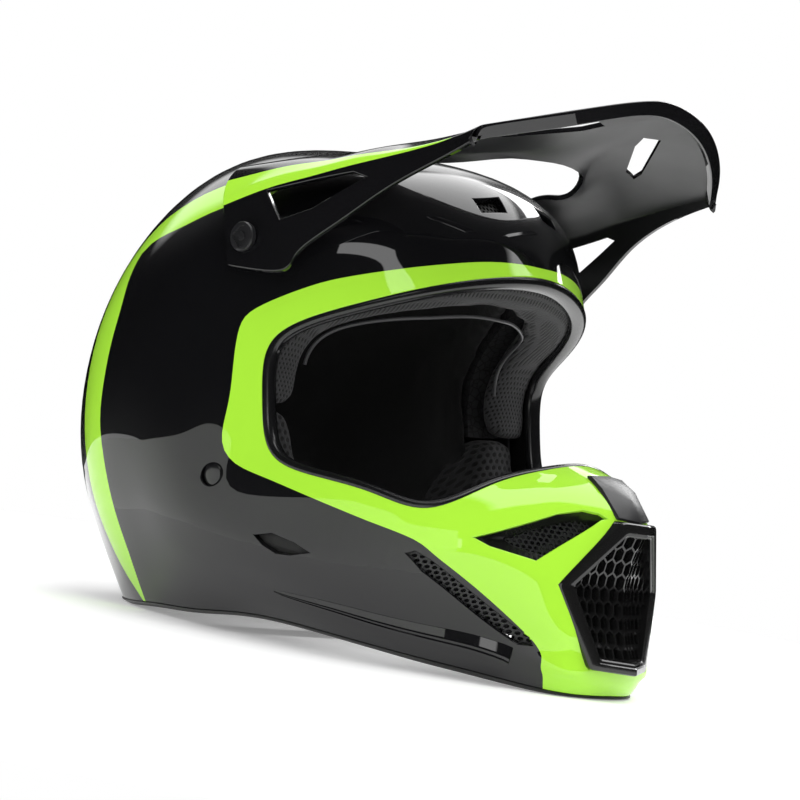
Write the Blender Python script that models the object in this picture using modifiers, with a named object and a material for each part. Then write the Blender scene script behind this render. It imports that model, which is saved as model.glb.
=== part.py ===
"""Off-road (motocross) helmet standing on its chin bar and nape.

Z is up, the wearer looks along -Y and the wearer's left side is +X. The origin is on the surface that the
helmet stands on, under the middle of its length. Every point in the tables is on the left half, in
millimetres, and each one lies on the finished surface. The right half is its mirror image.
"""

from math import cos, radians, sin

import bmesh
import bpy
import numpy as np
from mathutils import Matrix, Vector

MM = 0.001
SHIFT_Y = -1.33  # brings the middle of the helmet's length over the origin

# Walls and layers, each measured inwards from the shell's outer surface
SHELL_WALL = 3.4
LINER_START, LINER_END = 6.4, 34.0
COMFORT_START, COMFORT_END = 34.8, 44.0
NECK_START, NECK_END = 6.4, 26.0
CHIN_FOAM_START, CHIN_FOAM_END = 7.0, 17.0
INLAY_START, INLAY_END = 4.0, 5.6
CHEEK_PLATE_START, CHEEK_PLATE_END = 12.4, 13.8
CHEEK_START, CHEEK_END = 14.5, 46.0
BROW_START, BROW_END = 18.0, 40.0
LAYER_GAP = 0.7

# Joint axes, all along X
STRAP_AXIS_Y, STRAP_AXIS_Z = 9.0, 76.0
PEAK_AXIS_Y, PEAK_AXIS_Z = 14.0, 192.5
SCREW_SEAT_X = 121.0  # face of the shallow recess in each arm that a screw's head sits in
SCREW_HEAD_RADIUS, SCREW_HEAD_THICK = 7.5, 3.0
PEAK_WALL = 2.8

# Shell columns run from the chin's middle, round the eyeport, to the brow's middle.
# Rows run from the eyeport's edge to the neck's edge.
SHELL = (
    ((0, -124, 109), (0, -138, 104), (0, -157, 88), (0, -163, 55), (0, -163, 41),
     (0, -163, 29), (0, -162.5, 18), (0, -161, 9), (0, -158, 2)),
    ((30, -120, 104), (34, -131, 97), (38, -140, 82), (42, -147, 53), (40.5, -149, 40),
     (38.5, -151, 29), (36.5, -152.5, 18), (34.5, -152, 9), (32, -149, 2)),
    ((60, -112, 93), (66, -117, 84), (69, -121, 74), (71, -124, 61), (68, -124, 49),
     (65, -123, 37), (62, -122, 26), (59, -120, 15), (56, -117, 5)),
    ((88, -99, 78), (92, -98, 72), (94, -98, 67), (95, -99, 58), (93, -99, 47),
     (90, -98, 36), (86, -96, 26), (82, -94, 16), (78, -92, 8)),
    ((103, -74, 81), (107, -72, 71), (110, -70, 61), (111, -68, 51), (110, -66, 42),
     (107, -63, 33), (103, -60, 25), (98, -57, 17), (93, -55, 11)),
    ((112, -42, 84), (116, -38, 72), (119, -33, 62), (121, -28, 53), (120, -24, 44),
     (117, -20, 36), (112, -17, 28), (106, -15, 20), (99, -13, 12)),
    ((114, -17, 92), (118, -5, 85), (122, 6, 77), (125, 14, 68), (125, 20, 58),
     (122, 25, 47), (117, 27, 35), (109, 27, 22), (99, 24, 8)),
    ((114, -7, 116), (119, 8, 114), (124, 22, 111), (127, 36, 105), (127, 50, 95),
     (124, 60, 79), (119, 63, 59), (110, 59, 33), (96, 50, 6)),
    ((113, -4, 140), (118, 11, 142), (123, 26, 143), (126, 44, 141), (126, 66, 132),
     (122, 86, 111), (117, 95, 82), (107, 92, 44), (90, 72, 4)),
    ((106, -15, 156), (112, -3, 163), (118, 14, 170), (122, 34, 173), (122, 64, 167),
     (116, 98, 142), (110, 115, 104), (99, 114, 54), (80, 91, 2)),
    ((90, -38, 170), (96, -29, 180), (105, -14, 191), (111, 12, 199), (112, 55, 195),
     (106, 103, 170), (98, 130, 122), (87, 132, 62), (66, 110, 1)),
    ((65, -61, 184), (69, -54, 195), (76, -42, 211), (84, -14, 226), (87, 47, 226),
     (84, 105, 202), (77, 143, 142), (65, 149, 72), (48, 124, 1)),
    ((33, -75, 194), (35, -69, 205), (39, -57, 223), (44, -24, 242), (46, 44, 244.5),
     (45, 107, 227.5), (41, 156, 160), (35, 161, 80), (25, 133, 1)),
    ((0, -80, 198), (0, -74, 209), (0, -62, 228), (0, -28, 246.5), (0, 42, 251),
     (0, 108, 235.5), (0, 161, 168), (0, 165, 84), (0, 136, 1)),
)
LAST_COLUMN, LAST_ROW = len(SHELL) - 1, len(SHELL[0]) - 1
CREASE_ROW, CREASE_COLUMN, CREASE = 3, 1, 0.6

# Peak rows run from its front edge back along its arm to the gap in front of the rear panel.
# Its columns run from the middle, over the top and down the arm's outer side.
PEAK = (
    ((0, -136.5, 283), (31, -135.5, 278), (60.5, -126.3, 268), (84, -113.6, 259.3), (100, -103.4, 253),
     (101.8, -102.6, 251)),
    ((0, -138.5, 290), (32, -137.5, 285), (62, -128.3, 275.2), (86, -115.6, 266), (102, -105, 259.3),
     (103.2, -104.2, 254)),
    ((0, -108, 275), (30, -105, 273.5), (60, -97.5, 268), (84, -89, 259.5), (100, -82.5, 251),
     (100.5, -82, 242.8)),
    ((0, -79, 258), (28, -74, 260), (57, -68, 259), (84, -60, 252), (103, -54.5, 242),
     (104.5, -57, 226.8)),
    ((52, -48, 248), (64, -45, 250), (79, -41, 249), (96, -37, 244), (109, -33, 235), (112, -35.8, 207)),
    ((66, -22, 246), (76, -20, 245), (88, -18, 242), (101, -15, 237), (113, -12, 228), (118, -17.5, 189.2)),
    ((82, 8, 240), (90, 8, 238), (99, 8, 235), (107, 9, 230), (115.5, 10, 221), (121.5, -11.8, 179.3)),
    ((98, 39, 230), (104, 39, 228), (109, 39, 225), (114, 38.5, 218), (118.5, 34.6, 209), (124.5, 19, 178.3)),
)
PEAK_LEADING_ROW, PEAK_EDGE_COLUMN = 1, 4

# Vent outlines on the left side. Each pair is across the cut's direction: (x, z) for Y, (y, z) for X, (x, y) for Z.
MOUTH = ((-13.8, 86.5), (-42, 52.5), (-22, 14), (22, 14), (42, 52.5), (13.8, 86.5))
CHIN_VENT = ((76, 68.5), (38, 86), (27, 89.5), (20, 89), (16, 86.5), (20, 85), (50, 61.5), (69, 65))
JAW_VENT = ((97, 56), (94, 58.5), (88, 55), (64, 38.5), (47, 26), (45, 21.5), (50, 21), (90, 48.5))
CHEEK_VENT = ((-22, 51.5), (-33, 54.5), (-46, 52), (-56, 48), (-44, 44.5), (-36, 44), (-28, 47))
REAR_VENT = ((20, 120), (46, 124), (44, 112), (22, 107))
BROW_VENT = ((14, 235), (34, 231), (33, 224), (15, 227))
PEAK_WINDOW = ((11, 217), (-37, 231.5), (-46, 229.5), (-20, 210), (-3, 202.5), (4, 209.5))
PEAK_SLOT = ((16, -112), (28, -116), (62, -84), (66, -76), (52, -79), (22, -103))

# The mouth vent's parts are folded along the middle: their front is at RIDGE_Y + FOLD * distance from the middle.
RIDGE_Y, FOLD = -166.5, 0.44
MOUTH_HALF = ((0, 86.1), (13.5, 86.1), (41.4, 52.5), (21.7, 14.4), (0, 14.4))
GRILLE_HALF = ((0, 79.5), (10, 79.5), (32.5, 52.5), (16.5, 20), (0, 20))
CELL_RISE, CELL_REACH = 6.6, 4.6

# Middle lines of the buckled chin strap's two webbings, seen from the front: (x, z)
WEBBING_WIDTH, WEBBING_THICK = 22.0, 1.8
STRAP_DROP = ((115.3, 60), (114.8, 48), (111.2, 36), (103, 25.5), (90.5, 17.5), (76, 12.5))
STRAP_CROSS = ((56, 9.2), (40, 8.0), (20, 7.2), (0, 7.0), (-20, 7.2))
STRAP_RETURN = ((30, 17.2), (12, 15.0), (-10, 13.4))
LONG_TURN, LONG_TURN_RADIUS = (42.0, 13.0), 5.0
SHORT_RUN, SHORT_RETURN = ((72, 10.8), (66, 9.4)), ((70, 18.8), (83, 21.2))
SHORT_TURN, SHORT_TURN_RADIUS = (60.5, 13.7), 4.7
RING_WIRE, RING_BAR_X, RING_BOW_X, RING_BOW_DEPTH = 1.4, 61.2, 47.2, 7.4
FLOOR_SPAN = 220
EVERY = (-1, 99)  # a range that takes in every row or column


def collection(name, visible):
    made = bpy.data.collections.new(name)
    made.hide_render = not visible
    bpy.context.scene.collection.children.link(made)
    return made


def point(x, y, z):
    """A place in the tables' millimetres, as metres in the finished frame."""
    return Vector((x, y + SHIFT_Y, z)) * MM


def material(name, color, roughness, metallic=0.0):
    made = bpy.data.materials.new(name)
    made.use_nodes = True
    shader = made.node_tree.nodes["Principled BSDF"]
    shader.inputs["Base Color"].default_value = (*color, 1.0)
    shader.inputs["Roughness"].default_value = roughness
    shader.inputs["Metallic"].default_value = metallic
    return made


def new_object(name, mesh, paint=None):
    """Links a mesh as one named piece, or as a cutter where it has no paint."""
    made = bpy.data.objects.new(name, mesh)
    (helmet if paint else cutters).objects.link(made)
    if paint:
        mesh.materials.append(paint)
    else:
        made.hide_render = True
        made.display_type = "WIRE"
    return made


def mesh_from(name, verts, faces):
    """A closed mesh of these corners and faces, its normals made to point outwards."""
    mesh = bpy.data.meshes.new(name)
    mesh.from_pydata([tuple(v) for v in verts], [], faces)
    shape = bmesh.new()
    shape.from_mesh(mesh)
    bmesh.ops.remove_doubles(shape, verts=shape.verts, dist=1e-7)
    bmesh.ops.recalc_face_normals(shape, faces=shape.faces)
    shape.to_mesh(mesh)
    shape.free()
    mesh.shade_smooth()
    mesh.set_sharp_from_angle(angle=radians(32))
    return mesh


def evaluated(obj):
    """The mesh of this object with its modifiers, as new data, and the object removed."""
    bpy.context.view_layer.update()
    graph = bpy.context.evaluated_depsgraph_get()
    mesh = bpy.data.meshes.new_from_object(obj.evaluated_get(graph))
    bpy.data.objects.remove(obj)
    return mesh


def cut(obj, *tools, operation="DIFFERENCE"):
    """Cuts each tool from a piece and keeps the result as plain mesh data."""
    for tool in tools:
        step = obj.modifiers.new("Cut", "BOOLEAN")
        step.operation = operation
        step.object = tool
    bpy.context.view_layer.update()
    graph = bpy.context.evaluated_depsgraph_get()
    result = bpy.data.meshes.new_from_object(obj.evaluated_get(graph))
    obj.modifiers.clear()
    obj.data = result
    return obj


def prism(name, outline, axis, low, high, paint=None):
    """A flat outline in the plane across an axis, from low to high along it, in table millimetres."""
    order = {"X": lambda a, b, t: point(t, a, b), "Y": lambda a, b, t: point(a, t, b),
             "Z": lambda a, b, t: point(a, b, t)}[axis]
    count = len(outline)
    verts = [order(a, b, t) for t in (low, high) for a, b in outline]
    faces = [tuple(range(count)), tuple(range(count, 2 * count))]
    faces += [(i, (i + 1) % count, count + (i + 1) % count, count + i) for i in range(count)]
    return new_object(name, mesh_from(name, verts, faces), paint)


def rod(name, centre, axis, radius, length, paint=None, sides=16):
    """A round rod about a point of its axis, in table millimetres."""
    shape = bmesh.new()
    bmesh.ops.create_cone(shape, cap_ends=True, segments=sides, radius1=radius * MM, radius2=radius * MM,
                          depth=length * MM)
    turn = Vector((0, 0, 1)).rotation_difference(Vector(axis)).to_matrix().to_4x4()
    bmesh.ops.transform(shape, matrix=Matrix.Translation(point(*centre)) @ turn, verts=shape.verts)
    mesh = bpy.data.meshes.new(name)
    shape.to_mesh(mesh)
    shape.free()
    mesh.shade_smooth()
    mesh.set_sharp_from_angle(angle=radians(40))
    return new_object(name, mesh, paint)


def mirrored(obj, name):
    """A separate copy of a left-hand piece on the right."""
    mesh = obj.data.copy()
    mesh.name = name
    shape = bmesh.new()
    shape.from_mesh(mesh)
    bmesh.ops.transform(shape, matrix=Matrix.Scale(-1, 4, (1, 0, 0)), verts=shape.verts)
    bmesh.ops.reverse_faces(shape, faces=shape.faces)
    shape.to_mesh(mesh)
    shape.free()
    made = bpy.data.objects.new(name, mesh)
    for home in obj.users_collection:
        home.objects.link(made)
    made.hide_render = obj.hide_render
    made.display_type = obj.display_type
    return made


def pair(obj):
    """Names a left-hand piece left_..., and adds its right-hand twin."""
    plain = obj.name
    obj.name = "left_" + plain
    return obj, mirrored(obj, "right_" + plain)


def pivot(name, place, pieces):
    """An empty on a joint's axis that carries the pieces that turn about it."""
    axis = bpy.data.objects.new(name, None)
    axis.location = point(*place)
    axis.empty_display_size = 0.02
    helmet.objects.link(axis)
    for piece in pieces:
        piece.parent = axis
        piece.matrix_parent_inverse = Matrix.Translation(-axis.location)


# ---- the smooth surfaces that the tables describe ----


def grid_mesh(name, table):
    """The left half of a surface as a coarse grid, with its column and row kept as UV coordinates."""
    rows = len(table[0])
    verts = [point(*p) for column in table for p in column]
    faces = [
        (k * rows + j, k * rows + j + 1, (k + 1) * rows + j + 1, (k + 1) * rows + j)
        for k in range(len(table) - 1)
        for j in range(rows - 1)
    ]
    mesh = bpy.data.meshes.new(name)
    mesh.from_pydata(verts, [], faces)
    layer = mesh.uv_layers.new(name="grid")
    for loop in mesh.loops:
        layer.data[loop.index].uv = divmod(loop.vertex_index, rows)
    return mesh


def set_creases(mesh, pairs, weight):
    shape = bmesh.new()
    shape.from_mesh(mesh)
    shape.verts.ensure_lookup_table()
    layer = shape.edges.layers.float.new("crease_edge")
    for a, b in pairs:
        shape.edges.get((shape.verts[a], shape.verts[b]))[layer] = weight
    shape.to_mesh(mesh)
    shape.free()


def smooth_surface(name, mesh, levels):
    """A mirrored subdivision surface whose grid is pushed out until it passes through its own points."""
    obj = bpy.data.objects.new(name, mesh)
    helmet.objects.link(obj)
    mirror = obj.modifiers.new("Mirror", "MIRROR")
    mirror.merge_threshold = 0.0001
    smooth = obj.modifiers.new("Smooth", "SUBSURF")
    smooth.levels = smooth.render_levels = 3
    smooth.boundary_smooth = "PRESERVE_CORNERS"
    smooth.uv_smooth = "NONE"
    wanted = np.array([v.co for v in mesh.vertices])
    grid = wanted.copy()
    on_plane = np.abs(wanted[:, 0]) < 1e-9
    for _ in range(8):
        mesh.vertices.foreach_set("co", grid.ravel())
        mesh.update()
        bpy.context.view_layer.update()
        fine = obj.evaluated_get(bpy.context.evaluated_depsgraph_get()).to_mesh()
        reached = np.array([fine.vertices[i].co for i in range(len(wanted))])
        grid += wanted - reached
        grid[on_plane, 0] = 0.0
    mesh.vertices.foreach_set("co", grid.ravel())
    mesh.update()
    smooth.levels = smooth.render_levels = levels
    return evaluated(obj)


def shell_surface(levels):
    mesh = grid_mesh("shell_grid", SHELL)
    rows = LAST_ROW + 1
    along = [(k * rows + CREASE_ROW, (k + 1) * rows + CREASE_ROW) for k in range(3)]
    down = [(CREASE_COLUMN * rows + j, CREASE_COLUMN * rows + j + 1) for j in range(1, 7)]
    set_creases(mesh, along + down, CREASE)
    return smooth_surface("shell_surface", mesh, levels)


def grid_places(mesh):
    """Column and row of each vertex of an evaluated surface."""
    places = {}
    layer = mesh.uv_layers["grid"].data
    for loop in mesh.loops:
        places[loop.vertex_index] = tuple(layer[loop.index].uv)
    return places


def layer_mesh(name, columns, rows, start, end, side=None, inset=0.0):
    """A solid between two depths under the shell's surface, over a range of its columns and rows.

    It uses the whole surface's normals, so neighbouring layers keep their gap at every depth.
    """
    normals = [v.normal.copy() for v in skin.vertices]
    chosen = []
    for face in skin.polygons:
        u = sum(skin_places[i][0] for i in face.vertices) / len(face.vertices)
        v = sum(skin_places[i][1] for i in face.vertices) / len(face.vertices)
        if columns[0] < u < columns[1] and rows[0] < v < rows[1] and (side is None or face.center.x * side > 0):
            chosen.append(tuple(face.vertices))
    used = sorted({i for face in chosen for i in face})
    index = {old: new for new, old in enumerate(used)}
    ends = {}
    for face in chosen:
        for a, b in zip(face, face[1:] + face[:1]):
            ends[(a, b)] = ends.get((b, a), 0) + 1
    border = [(a, b) for (a, b), _ in ends.items() if (b, a) not in ends]
    on_border = {i for edge in border for i in edge}
    place = {i: skin.vertices[i].co.copy() for i in used}
    inward = {i: Vector() for i in on_border}
    for a, b in ends:
        for near, far in ((a, b), (b, a)):
            if near in on_border and far not in on_border:
                inward[near] += (place[far] - place[near]).normalized()
    for i, direction in inward.items():
        if direction.length > 0:
            place[i] = place[i] + direction.normalized() * inset * MM
    count = len(used)
    verts = [place[i] - normals[i] * depth * MM for depth in (start, end) for i in used]
    faces = [tuple(index[i] for i in face) for face in chosen]
    faces += [tuple(index[i] + count for i in reversed(face)) for face in chosen]
    faces += [(index[b], index[a], index[a] + count, index[b] + count) for a, b in border]
    return mesh_from(name, verts, faces)


def edge_stations(row):
    """Points, outward normals and directions off the surface along its whole eyeport or neck edge."""
    inner_row = 0.5 if row == 0 else row - 0.5
    place = {}
    for vertex in skin.vertices:
        u, v = skin_places[vertex.index]
        side = 0 if abs(vertex.co.x) < 1e-6 else (1 if vertex.co.x > 0 else -1)
        place[(side, round(u * 2), round(v * 2))] = vertex
    last = 2 * LAST_COLUMN
    keys = [(0, 0)] + [(1, u) for u in range(1, last)] + [(0, last)] + [(-1, u) for u in range(last - 1, 0, -1)]
    edge = [place[(side, u, round(row * 2))] for side, u in keys]
    inside = [place[(side, u, round(inner_row * 2))] for side, u in keys]
    stations = []
    for i, vertex in enumerate(edge):
        along = edge[(i + 1) % len(edge)].co - edge[i - 1].co
        off = vertex.co - inside[i].co
        off -= off.project(along)
        off -= off.project(vertex.normal)
        stations.append((vertex.co.copy(), vertex.normal.copy(), off.normalized()))
    return stations


def moulding(name, stations, profile, paint):
    """A closed ring swept along an edge. The profile is (distance off the edge, height over the surface)."""
    count, corners = len(stations), len(profile)
    verts = [place + (off * a + normal * b) * MM for place, normal, off in stations for a, b in profile]
    faces = [
        (i * corners + j, i * corners + (j + 1) % corners, (i + 1) % count * corners + (j + 1) % corners,
         (i + 1) % count * corners + j)
        for i in range(count)
        for j in range(corners)
    ]
    return new_object(name, mesh_from(name, verts, faces), paint)


# ---- shell, its trims and its linings ----


def make_vent_cutters():
    """Prisms through the shell for each vent and fixing hole. Each entry holds one tool, or a left and right pair."""
    rivet = rod("rivet_hole", (120, STRAP_AXIS_Y, STRAP_AXIS_Z), (1, 0, 0), 3.4, 24, sides=12)
    screw = rod("screw_hole", (110, PEAK_AXIS_Y, PEAK_AXIS_Z), (1, 0, 0), 5.0, 30, sides=12)
    return {
        "mouth": (prism("mouth_hole", MOUTH, "Y", -185, -120),),
        "chin": pair(prism("chin_vent_hole", CHIN_VENT, "Y", -165, -95)),
        "jaw": pair(prism("jaw_vent_hole", JAW_VENT, "Y", -160, -80)),
        "cheek": pair(prism("cheek_vent_hole", CHEEK_VENT, "X", 95, 140)),
        "rear": pair(prism("rear_vent_hole", REAR_VENT, "Y", 110, 200)),
        "brow": pair(prism("brow_vent_hole", BROW_VENT, "Y", -90, -20)),
        "rivet": pair(rivet),
        "recess": pair(rod("rivet_recess", (126.3, STRAP_AXIS_Y, STRAP_AXIS_Z), (1, 0, 0), 6.1, 10, sides=24)),
        "screw": pair(screw),
    }


def make_shell(vents):
    shell = new_object("outer_shell", layer_mesh("outer_shell", EVERY, EVERY, 0, SHELL_WALL), GLOSS_BLACK)
    return cut(shell, *(tool for tools in vents.values() for tool in tools))


def make_trims():
    lip = ((0.6, 0.8), (2.4, 0.6), (4.0, -2.5), (4.0, -14.5), (2.6, -16.5), (0.6, -16.5))
    moulding("eyeport_trim", edge_stations(0), lip, RUBBER)
    hem = ((0.6, 0.6), (2.4, 0.2), (3.6, -1.7), (2.4, -4.2), (0.6, -4.8))
    trim = moulding("lower_edge_trim", edge_stations(LAST_ROW), hem, RUBBER)
    low, high = -FLOOR_SPAN, FLOOR_SPAN
    cut(trim, prism("floor_cut", ((low, low), (high, low), (high, high), (low, high)), "Z", -20, 0))


def layer_piece(name, columns, rows, start, end, paint, side=None):
    return new_object(name, layer_mesh(name, columns, rows, start, end, side, LAYER_GAP), paint)


def make_linings(vents):
    head = layer_piece("eps_liner", (7, LAST_COLUMN), (1, 7), LINER_START, LINER_END, FOAM)
    pockets = pair(rod("nut_pocket", (100, PEAK_AXIS_Y, PEAK_AXIS_Z), (1, 0, 0), 9.0, 30, sides=12))
    cut(head, *vents["rear"], *vents["brow"], *pockets)
    chin = layer_piece("chin_bar_foam", (0, 3), (1, 6), CHIN_FOAM_START, CHIN_FOAM_END, FOAM)
    cut(chin, *vents["mouth"], *vents["chin"])
    layer_piece("crown_comfort_liner", (8, LAST_COLUMN), (1.5, 6), COMFORT_START, COMFORT_END, FABRIC)
    layer_piece("brow_pad", (7.5, LAST_COLUMN), (0, 1), BROW_START, BROW_END, FABRIC)
    layer_piece("neck_roll", (8, LAST_COLUMN), (7, 8), NECK_START, NECK_END, FABRIC)
    pair(layer_piece("cheek_pad", (4, 7), (0.5, 5.5), CHEEK_START, CHEEK_END, FABRIC, 1))
    plate = layer_piece("cheek_pad_plate", (4, 7), (0.5, 5.5), CHEEK_PLATE_START, CHEEK_PLATE_END, PLASTIC, 1)
    cut(plate, rod("strap_window", (112, STRAP_AXIS_Y, STRAP_AXIS_Z - 4), (1, 0, 0), 25, 30, sides=24))
    pair(plate)


def make_cheek_snaps():
    """Studs that hold each cheek pad's plate to the shell's lining."""
    for place, x, y, z in (("front", 109.6, -38, 60), ("rear", 117.6, 40, 66)):
        pair(rod(f"{place}_cheek_snap", (x, y, z), (1, 0, 0), 3.5, 4.4, PLASTIC, sides=12))


# ---- vents ----


def inlay(name, outline, axis, low, high, start, end, paint):
    """The piece of a layer under the shell that an outline covers, as for a vent's mesh behind its opening."""
    piece = new_object(name, layer_mesh(name, EVERY, EVERY, start, end), paint)
    return cut(piece, prism(name + "_outline", outline, axis, low, high), operation="INTERSECT")


def grown(outline, by):
    """An outline pushed outwards from its middle by about this much."""
    middle = Vector((sum(p[0] for p in outline), sum(p[1] for p in outline))) / len(outline)
    return tuple(tuple(Vector(p) + (Vector(p) - middle).normalized() * by) for p in outline)


def make_vent_meshes():
    depth = (INLAY_START, INLAY_END)
    pair(inlay("chin_vent_mesh", grown(CHIN_VENT, 2), "Y", -165, -95, *depth, MESH))
    pair(inlay("jaw_vent_mesh", grown(JAW_VENT, 2), "Y", -160, -80, *depth, MESH))
    pair(inlay("cheek_vent_insert", grown(CHEEK_VENT, 3), "X", 95, 140, *depth, PLASTIC))
    pair(inlay("rear_vent_grille", grown(REAR_VENT, 3), "Y", 110, 200, *depth, MESH))
    pair(inlay("brow_vent_mesh", grown(BROW_VENT, 2), "Y", -90, -20, *depth, MESH))


def make_chin_plaque():
    outline = ((-12.5, 104), (-13.5, 88), (13.5, 88), (12.5, 104))
    inlay("chin_plaque", outline, "Y", -175, -120, -2.2, -0.4, PLASTIC)


def folded_plate(name, half, front, back, paint=None):
    """A plate folded along the helmet's middle. Its half outline starts and ends on the middle line."""
    ring = [(x, z) for x, z in half] + [(-x, z) for x, z in reversed(half[1:-1])]
    count, turn = len(ring), len(half) - 1
    verts = [point(x, RIDGE_Y + FOLD * abs(x) + depth, z) for depth in (front, back) for x, z in ring]
    left = tuple(range(turn + 1))
    right = tuple(range(turn, count)) + (0,)
    faces = [left, right, tuple(i + count for i in left), tuple(i + count for i in right)]
    faces += [(i, (i + 1) % count, (i + 1) % count + count, i + count) for i in range(count)]
    return new_object(name, mesh_from(name, verts, faces), paint)


def hexagon_tool(name, cells):
    """One cutter made of upright six-sided prisms through the grille, at (x, z) places."""
    verts, faces = [], []
    for x, z in cells:
        first = len(verts)
        corners = [(x, z + CELL_RISE), (x + CELL_REACH, z + CELL_RISE / 2), (x + CELL_REACH, z - CELL_RISE / 2),
                   (x, z - CELL_RISE), (x - CELL_REACH, z - CELL_RISE / 2), (x - CELL_REACH, z + CELL_RISE / 2)]
        verts += [point(a, y, b) for y in (-175, -135) for a, b in corners]
        faces += [tuple(range(first, first + 6)), tuple(range(first + 6, first + 12))]
        faces += [(first + i, first + (i + 1) % 6, first + 6 + (i + 1) % 6, first + 6 + i) for i in range(6)]
    return new_object(name, mesh_from(name, verts, faces))


def make_mouth_vent():
    frame = folded_plate("mouth_vent_frame", MOUTH_HALF, 0, 7, PLASTIC)
    cut(frame, folded_plate("frame_hole", GRILLE_HALF, -5, 12))
    inner = tuple((max(0, x - 0.4 * (x > 0)), z - 0.4 * (1 if z > 52 else -1)) for x, z in GRILLE_HALF)
    grille = folded_plate("mouth_vent_grille", inner, 2.0, 4.0, PLASTIC)
    cells = [(x + (5.8 if row % 2 else 0), 28 + 9.6 * row) for row in range(5) for x in (-11.6, 0, 11.6)]
    cut(grille, hexagon_tool("grille_cells", [c for c in cells if abs(c[0]) < 14]))
    filter_half = tuple((x * 0.96, 49 + (z - 49) * 0.96) for x, z in MOUTH_HALF)
    folded_plate("mouth_filter", filter_half, 8.0, 12.0, FOAM)


# ---- peak and its screws ----


def make_peak():
    mesh = grid_mesh("peak_grid", PEAK)
    columns = len(PEAK[0])
    front = [(PEAK_LEADING_ROW * columns + j, PEAK_LEADING_ROW * columns + j + 1) for j in range(columns - 1)]
    arms = [(k * columns + PEAK_EDGE_COLUMN, (k + 1) * columns + PEAK_EDGE_COLUMN) for k in range(1, len(PEAK) - 1)]
    set_creases(mesh, front + arms, 0.7)
    peak = new_object("peak", smooth_surface("peak_surface", mesh, 1), GLOSS_BLACK)
    wall = peak.modifiers.new("Wall", "SOLIDIFY")
    wall.thickness = PEAK_WALL * MM
    wall.offset = -1
    windows = pair(prism("peak_window", PEAK_WINDOW, "X", 85, 140))
    slots = pair(prism("peak_slot", PEAK_SLOT, "Z", 235, 300))
    holes = pair(rod("peak_screw_hole", (118, PEAK_AXIS_Y, PEAK_AXIS_Z), (1, 0, 0), 4.0, 20, sides=12))
    seat = rod("screw_seat", (SCREW_SEAT_X + 5, PEAK_AXIS_Y, PEAK_AXIS_Z), (1, 0, 0), SCREW_HEAD_RADIUS + 1, 10,
               sides=24)
    cut(peak, *windows, *slots, *holes, *pair(seat))
    pivot("peak_axis", (0, PEAK_AXIS_Y, PEAK_AXIS_Z), [peak])


def make_peak_fixings():
    """Quarter-turn screws through the peak's arms, and the nuts that they turn in."""
    y, z = PEAK_AXIS_Y, PEAK_AXIS_Z
    middle = SCREW_SEAT_X + 0.4 + SCREW_HEAD_THICK / 2
    head = rod("peak_screw", (middle, y, z), (1, 0, 0), SCREW_HEAD_RADIUS, SCREW_HEAD_THICK, METAL, sides=24)
    shank = rod("shank", (middle - 12, y, z), (1, 0, 0), 3.2, 24, sides=12)
    cut(head, shank, operation="UNION")
    slot = ((y - 6, z - 0.9), (y + 6, z - 0.9), (y + 6, z + 0.9), (y - 6, z + 0.9))
    cut(head, prism("coin_slot", slot, "X", middle + 0.3, middle + 5))
    for screw, side in zip(pair(head), (1, -1)):
        pivot(screw.name + "_axis", (side * middle, y, z), [screw])
    nut = rod("peak_nut", (104, PEAK_AXIS_Y, PEAK_AXIS_Z), (1, 0, 0), 7.0, 5.0, METAL, sides=6)
    cut(nut, rod("nut_bore", (105, PEAK_AXIS_Y, PEAK_AXIS_Z), (1, 0, 0), 3.5, 12, sides=12))
    pair(nut)


# ---- chin strap ----


def ribbon(name, path, paint, width=WEBBING_WIDTH, thick=WEBBING_THICK, centre=STRAP_AXIS_Y):
    """Flat webbing along a line of (x, z) points, its width along Y."""
    line = [Vector(p) for p in path]
    sides = []
    for i, place in enumerate(line):
        along = (line[min(i + 1, len(line) - 1)] - line[max(i - 1, 0)]).normalized()
        across = Vector((-along.y, along.x)) * thick / 2
        sides.append((place + across, place - across))
    corners = [(side, y) for side, y in ((0, -width / 2), (0, width / 2), (1, width / 2), (1, -width / 2))]
    verts = [point(pairs[side].x, centre + y, pairs[side].y) for pairs in sides for side, y in corners]
    count = len(line)
    faces = [(0, 1, 2, 3), tuple(4 * (count - 1) + i for i in range(4))]
    faces += [(4 * i + j, 4 * i + (j + 1) % 4, 4 * i + 4 + (j + 1) % 4, 4 * i + 4 + j)
              for i in range(count - 1) for j in range(4)]
    return new_object(name, mesh_from(name, verts, faces), paint)


def arc(centre, radius, start, end, steps):
    """Points round part of a circle, in degrees."""
    return [(centre[0] + radius * cos(radians(start + (end - start) * i / steps)),
             centre[1] + radius * sin(radians(start + (end - start) * i / steps))) for i in range(steps + 1)]


def d_ring(name, height):
    """A D-shaped ring of wire lying flat: a straight bar across the strap, and a bow towards the middle."""
    half = WEBBING_WIDTH / 2 + 2.4
    bow = [(RING_BOW_X + x * RING_BOW_DEPTH / half, y) for x, y in arc((0, 0), half, 90, 270, 8)]
    curve = bpy.data.curves.new(name, "CURVE")
    curve.dimensions = "3D"
    curve.bevel_depth = RING_WIRE * MM
    curve.bevel_resolution = 1
    spline = curve.splines.new("POLY")
    outline = [(RING_BAR_X, -half), (RING_BAR_X, half)] + bow
    spline.points.add(len(outline) - 1)
    for target, (x, y) in zip(spline.points, outline):
        target.co = (*point(x, STRAP_AXIS_Y + y, height), 1)
    spline.use_cyclic_u = True
    source = bpy.data.objects.new(name + "_wire", curve)
    helmet.objects.link(source)
    return new_object(name, evaluated(source), METAL)


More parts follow.
